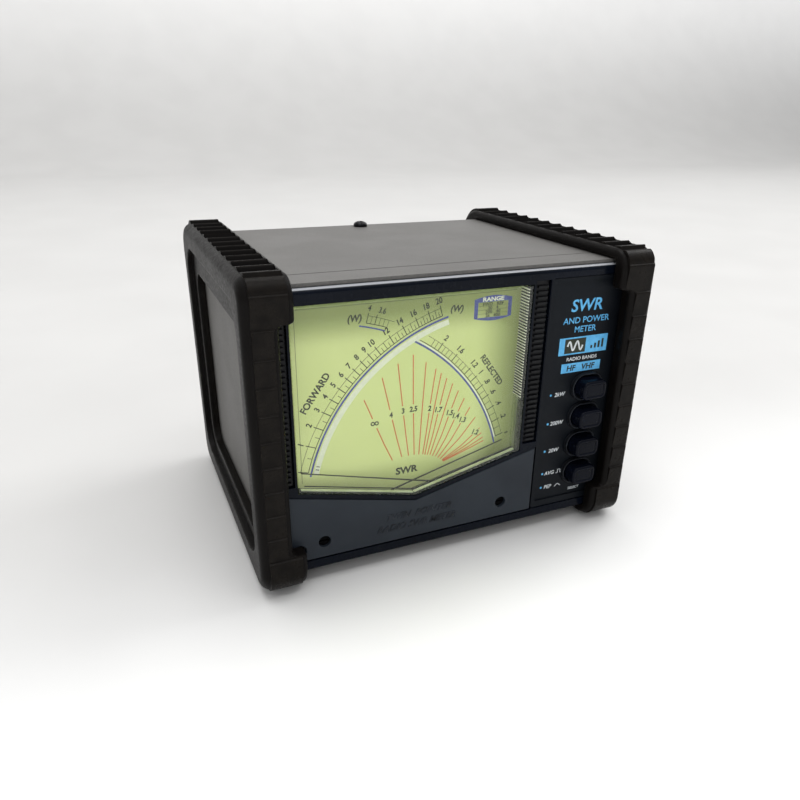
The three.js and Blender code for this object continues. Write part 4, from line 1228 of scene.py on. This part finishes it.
def emboss_lower_cover():
    """Raised lettering on the cover, in black plastic."""
    plane = span("lower_bezel_cover")[0].y
    raised = Print(plane, 0.22)
    raised.word("TWIN  POINTER", -16.5, 22.3, height=2.9, slant=0.45, bold=0.05)
    raised.word("RADIO SWR METER", -17.5, 17.4, height=2.9, slant=0.45, bold=0.05)
    raised.finish("lower_cover_lettering", BLACK, "slate_plastic")


# ---------------------------------------------------------------- meter window
WINDOW_LOW, WINDOW_HIGH = span("meter_window")
WINDOW_CORNER_Z = 41.1
WINDOW_VERTEX_Z = WINDOW_LOW.z
WINDOW_MIDDLE = (WINDOW_LOW.x + WINDOW_HIGH.x) / 2
WINDOW_WALL = 1.1
WINDOW_SLOPE = 0.234
LIP_HEIGHT = 0.45
FLUTE_DEPTH = 0.45
FLUTED_FROM = 0.34


def five_sided(inset, y):
    """The window's outline, inset evenly, at one depth."""
    left, right = WINDOW_LOW.x + inset, WINDOW_HIGH.x - inset
    top = WINDOW_HIGH.z - inset
    lift = 1.03 * inset
    return [
        (left, y, WINDOW_CORNER_Z + lift),
        (WINDOW_MIDDLE, y, WINDOW_VERTEX_Z + lift),
        (right, y, WINDOW_CORNER_Z + lift),
        (right, y, top),
        (left, y, top),
    ]


def window_plate():
    """The clear front of the window, with a rounded edge."""
    front, back = WINDOW_LOW.y, WINDOW_LOW.y + 2.0
    rings = ((0, back), (0, front + 0.5), (0.12, front + 0.12), (0.5, front))
    loops = [five_sided(inset, y) for inset, y in rings]
    mesh = bmesh.new()
    loft(mesh, loops, cap_ends=True)
    piece("window_plate", mesh, WINDOW, replaces=["meter_window"])


def flutes(wall_front, wall_back, low, high):
    """Flutes from front to back on the inner face of the right wall, above its lower third."""
    start = low + (high - low) * FLUTED_FROM
    count = int((high - start) / FLUTE_PITCH)
    end = start + count * FLUTE_PITCH
    root = WINDOW_HIGH.x - WINDOW_WALL - 0.02
    crest = WINDOW_HIGH.x - WINDOW_WALL - FLUTE_DEPTH
    valley = root + (crest - root) * 0.08
    profile = []
    for i in range(count):
        z = start + i * FLUTE_PITCH
        profile += [(valley, z), (crest, z + FLUTE_PITCH / 2)]
    profile += [(valley, end), (root, end), (root, start)]
    mesh = bmesh.new()
    loft(mesh, [[(x, y, z) for x, z in profile] for y in (wall_front, wall_back)], cap_ends=True)
    piece("window_flutes", mesh, WINDOW_FLUTES, crease=10)


def bar(mesh, corners, front, back):
    """A straight bar from front to back, whose section is given by its (x, z) corners."""
    loft(mesh, [[(x, y, z) for x, z in corners] for y in (front, back)], cap_ends=True)


def window_skirt():
    """The right and top walls behind the plate, and the shallow lip along the lower edges, whose pale body is
    a painted highlight along those edges.
    """
    front, back = WINDOW_LOW.y + 2.0, WINDOW_HIGH.y - 1.0
    right, top = WINDOW_HIGH.x, WINDOW_HIGH.z
    margin = WINDOW_WALL + 0.3
    flutes(WINDOW_LOW.y + 0.7, back - 0.1, WINDOW_CORNER_Z, top)
    lip = bmesh.new()
    reach = right - WINDOW_MIDDLE - margin
    for side in (-1, 1):
        corner = (WINDOW_MIDDLE + side * reach, WINDOW_CORNER_Z - margin * WINDOW_SLOPE)
        vertex = (WINDOW_MIDDLE + side * 0.2, WINDOW_VERTEX_Z + 0.05)
        raised = [(x, z + LIP_HEIGHT) for x, z in (corner, vertex)]
        bar(lip, [vertex, corner, *raised], front, front + 1.2)
    piece("window_lip", lip, WINDOW_LIP_HIGHLIGHT, crease=20)
    skirt = bmesh.new()
    bar(skirt, rectangle(right, right - WINDOW_WALL, WINDOW_CORNER_Z, top), front, back)
    bar(skirt, rectangle(WINDOW_LOW.x + margin, right - margin, top - WINDOW_WALL, top), front, back)
    piece("window_skirt", skirt, WINDOW_EDGE, crease=20)


# ---------------------------------------------------------------- rear sockets
SOCKET_BORE = 6.3
THREAD = {"first": 56.6, "pitch": 1.06, "turns": 8, "depth": 0.55}
JACK_INSIDE = 45.5


def threaded_shell(name, centre):
    """A nickel-plated tube, threaded outside, with its ends chamfered."""
    low, high = span(name)
    crest, rear = (high.x - low.x) / 2, high.y
    root = crest - THREAD["depth"]
    thread = []
    for i in range(THREAD["turns"]):
        y = THREAD["first"] + i * THREAD["pitch"]
        thread += [(root, y), (root, y + 0.2), (crest, y + 0.45), (crest, y + 0.65), (root, y + 0.9)]
    profile = [
        (SOCKET_BORE, low.y), (root, low.y), *thread, (root, rear - 0.25), (root - 0.3, rear),
        (SOCKET_BORE + 0.25, rear), (SOCKET_BORE, rear - 0.25),
    ]
    turned(name, centre, profile, NICKEL, [name], 64)


def slotted_contact(name, centre):
    """The socket's centre contact: a tube on a solid stem, with two slots across its end."""
    low, high = span(name)
    end = high.y
    tube = [(1.7, 53), (2.3, 53), (2.3, end - 0.35), (2.1, end), (1.95, end), (1.7, end - 0.3)]
    mesh = bmesh.new()
    lathe(mesh, centre, tube)
    lathe(mesh, centre, [(1.2, low.y), (2.3, low.y), (2.3, 52.9), (1.2, 52.9)])
    made = piece(name, mesh, BRASS, replaces=[name])
    slots = bmesh.new()
    for turn in (45, 135):
        spin = Matrix.Translation((centre[0], 0, centre[1])) @ Matrix.Rotation(math.radians(turn), 4, "Y")
        for inner, outer in ((-3.0, -1.2), (1.2, 3.0)):
            corners = rectangle(inner, outer, -0.25, 0.25)
            ends = [[spin @ Vector((x, y, z)) for x, z in corners] for y in (56, end + 1)]
            loft(slots, ends, cap_ends=True)
    subtract(made, slots)


def socket(port):
    """A threaded coaxial socket with its nut, insulator and slotted contact."""
    centre = middle(f"{port}_socket_shell")
    threaded_shell(f"{port}_socket_shell", centre)
    name = f"{port}_socket_insulator"
    end = span(name)[1].y
    rim = SOCKET_BORE - 0.1
    profile = [
        (2.5, 48), (rim, 48), (rim, end - 0.3), (rim - 0.3, end), (3.6, end), (3.3, end + 0.5),
        (2.6, end + 0.5), (2.5, end + 0.3),
    ]
    turned(name, centre, profile, INSULATOR, [name])
    slotted_contact(f"{port}_socket_contact", centre)
    refine(f"{port}_socket_nut", NICKEL, 0.45, 20, 3)


def power_jack():
    """The round lamp-power jack and its centre pin."""
    name = "lamp_power_jack"
    low, high = span(name)
    centre = middle(name)
    radius = (high.x - low.x) / 2
    face = high.y
    profile = [
        (3.1, JACK_INSIDE), (3.1, face - 0.5), (3.5, face - 0.1), (3.7, face), (5.0, face),
        (radius - 0.15, face - 0.2), (radius, face - 0.6), (radius, 52.4), (radius - 0.6, 50),
        (radius - 0.6, low.y), (0.9, low.y), (0.9, JACK_INSIDE),
    ]
    turned(name, centre, profile, BLACK, [name])
    pin = [(1.0, 44), (1.0, face - 1.6), (0.8, face - 1.2), (0.35, face - 1.0)]
    turned("lamp_power_jack_pin", centre, pin, NICKEL, count=32, closed=False)


# ---------------------------------------------------------------- needles
NEEDLES_AT_REST = {"forward": 165.0, "reflected": 15.0}
# Half of a needle's outline, from its tail to its tip, as (distance from the pivot, half width).
NEEDLE_OUTLINE = ((-5.2, 0.5), (-4.2, 1.0), (1.6, 0.45), (30, 0.26), (81.7, 0.17))


def needle(side, rest_angle):
    """A slim tapered pointer on a ring-shaped hub, with a short balancing tail."""
    name = f"{side}_needle"
    centre = pivot(f"{name}_swing")
    front = span(name)[0].y
    turn = math.radians(rest_angle)
    outline = [*NEEDLE_OUTLINE, *((along, -across) for along, across in reversed(NEEDLE_OUTLINE))]
    points = [
        (
            centre[0] + along * math.cos(turn) - across * math.sin(turn),
            centre[1] + along * math.sin(turn) + across * math.cos(turn),
        )
        for along, across in outline
    ]
    mesh = bmesh.new()
    loft(mesh, [[(x, y, z) for x, z in points] for y in (front, front + 0.35)], cap_ends=True)
    hub = [(1.05, front + 0.1), (2.0, front + 0.1), (2.0, front + 0.7), (1.05, front + 0.7)]
    lathe(mesh, centre, hub, 40)
    piece(name, mesh, NEEDLE, body=f"{side}_pointer", replaces=[name])


# ---------------------------------------------------------------- nodes that keep their CAD shape
# The nodes, their finish, and how much their edges are rounded.
CAD_FINISHES = (
    (("top_cover", "front_frame", "chassis_tray", "rear_panel"), GREY_PAINT, 0.25),
    (("front_bezel",), NAVY, 0.6),
    (("lower_bezel_cover",), SLATE, 0.5),
    (("control_panel",), PANEL, 0.25),
    (("grille_left", "grille_right"), BLACK, 0.2),
    (("switch_2kw", "switch_200w", "switch_20w", "switch_average_peak"), BLACK, 0.4),
    (("zero_adjust_reflected", "zero_adjust_forward"), SCREW_PLASTIC, 0.12),
    (("switch_board",), BOARD, 0.1),
    (("meter_housing",), HOUSING, 0.3),
    (("dial_plate",), DIAL, 0.1),
    (("forward_magnet", "reflected_magnet"), STEEL, 0.2),
    (("forward_coil", "reflected_coil"), WIRE, 0.15),
    (("dial_lamp_left", "dial_lamp_right"), BULB, 0.0),
    (("coupler_box", "coupler_lid"), CAST, 0.4),
    (("bezel_screw",), BLACK_STEEL, 0.1),
)


def finish_cad_nodes():
    """Finishes the CAD nodes whose shape stays as it is."""
    for names, material, bevel in CAD_FINISHES:
        for name in names:
            refine(name, material, bevel)


# ---------------------------------------------------------------- stage, light and camera
def stage_plane():
    """A pale floor that sweeps up into a backdrop far behind the object."""
    mesh = bmesh.new()
    half, reach, bend, height = 9000.0, 2600.0, 900.0, 3200.0
    rows = [(-4000.0, 0.0), (reach - bend, 0.0)]
    for step in range(1, 13):
        turn = math.radians(90 * step / 12)
        rows.append((reach - bend + bend * math.sin(turn), bend - bend * math.cos(turn)))
    rows.append((reach, height))
    lines = [[mesh.verts.new((x, y, z)) for x in (-half, half)] for y, z in rows]
    for line, following in zip(lines, lines[1:]):
        mesh.faces.new((line[0], line[1], following[1], following[0]))
    finish = Finish("pale_floor")
    clouds = finish.noise(120, 4)
    near = finish.mix(finish.between(clouds, 0, 1), srgb(243, 243, 242), srgb(246, 246, 245))
    far = finish.mix(finish.between(clouds, 0, 1), srgb(190, 189, 187), srgb(194, 193, 191))
    finish.colour(finish.mix(finish.along("Y", -260, 60), near, far))
    finish.rough(finish.between(clouds, 0.6, 0.7))
    finish.bump((finish.noise(2, 2), 0.02))
    glow = finish.mix(finish.along("Z", 20, 900), srgb(0, 0, 0), srgb(236, 236, 236))
    finish.glow(glow, 0.62)
    data = bpy.data.meshes.new("floor")
    mesh.to_mesh(data)
    mesh.free()
    data.transform(Matrix.Scale(MM, 4))
    data.materials.append(finish.material)
    data.shade_smooth()
    show("floor", data)


# Where each soft light stands and its size, in metres, and its power in watts.
SOFT_LIGHTS = {
    "main_softbox": ((1.9, 0.3, 2.2), (1.4, 1.8), 32),
    "overhead_softbox": ((-0.2, 0.4, 2.4), (1.6, 1.2), 28),
    "front_fill": ((-1.1, -2.4, 1.7), (1.6, 1.2), 8),
    "edge_strip": ((0.2, -1.0, 2.3), (2.4, 0.25), 14),
}
LIGHTS_AIM = Vector((0.0, 0.0, 0.06))


def area_light(name, place, size, power):
    """A rectangular soft light that faces the object."""
    light = bpy.data.lights.new(name, "AREA")
    light.shape = "RECTANGLE"
    light.size, light.size_y = size
    light.energy = power
    holder = show(name, light)
    holder.location = place
    holder.rotation_euler = (LIGHTS_AIM - Vector(place)).to_track_quat("-Z", "Y").to_euler()


def light_stage():
    """Four soft lights, and a pale surrounding that is brighter overhead."""
    for name, (place, size, power) in SOFT_LIGHTS.items():
        area_light(name, place, size, power)
    world = bpy.data.worlds.new("studio")
    world.use_nodes = True
    nodes, links = world.node_tree.nodes, world.node_tree.links
    direction = nodes.new("ShaderNodeTexCoord")
    split = nodes.new("ShaderNodeSeparateXYZ")
    height = nodes.new("ShaderNodeMapRange")
    for name, value in (("From Min", 0.0), ("From Max", 0.8), ("To Min", 0.34), ("To Max", 0.8)):
        height.inputs[name].default_value = value
    links.new(direction.outputs["Generated"], split.inputs["Vector"])
    links.new(split.outputs["Z"], height.inputs["Value"])
    background = nodes["Background"]
    background.inputs["Color"].default_value = (0.97, 0.98, 1.0, 1.0)
    links.new(height.outputs["Result"], background.inputs["Strength"])
    bpy.context.scene.world = world
    bpy.context.scene.view_settings.view_transform = "Standard"


# Angles in degrees, place in metres, lens in millimetres, shift as a share of the frame.
CAMERA = {
    "azimuth": -24.44,
    "elevation": 24.34,
    "roll": 1.1,
    "place": (-0.11902, -0.27578, 0.16933),
    "lens": 30.99,
    "shift": (-0.0138, 0.0276),
}


def add_camera():
    """The camera that the main view is seen from."""
    azimuth, elevation, roll = (math.radians(CAMERA[key]) for key in ("azimuth", "elevation", "roll"))
    back = Vector((
        math.sin(azimuth) * math.cos(elevation),
        -math.cos(azimuth) * math.cos(elevation),
        math.sin(elevation),
    ))
    level = (-back).cross(Vector((0, 0, 1))).normalized()
    upright = level.cross(-back)
    right = level * math.cos(roll) + upright * math.sin(roll)
    up = upright * math.cos(roll) - level * math.sin(roll)
    data = bpy.data.cameras.new("camera")
    data.lens = CAMERA["lens"]
    data.sensor_width = 36.0
    data.shift_x, data.shift_y = CAMERA["shift"]
    data.clip_start = 0.01
    holder = show("camera", data)
    turn = Matrix((right, up, back)).transposed().to_4x4()
    holder.matrix_world = Matrix.Translation(CAMERA["place"]) @ turn
    bpy.context.scene.camera = holder


# ---------------------------------------------------------------- the whole scene
add_camera()
light_stage()
stage_plane()
bumpers_feet_and_screws()
finish_cad_nodes()
for name in BUTTONS:
    button(name)
    collar(name.replace("button", "collar"))
print_dial()
print_panel()
emboss_lower_cover()
window_plate()
window_skirt()
for side, angle in NEEDLES_AT_REST.items():
    needle(side, angle)
for port in ("antenna", "transmitter"):
    socket(port)
power_jack()
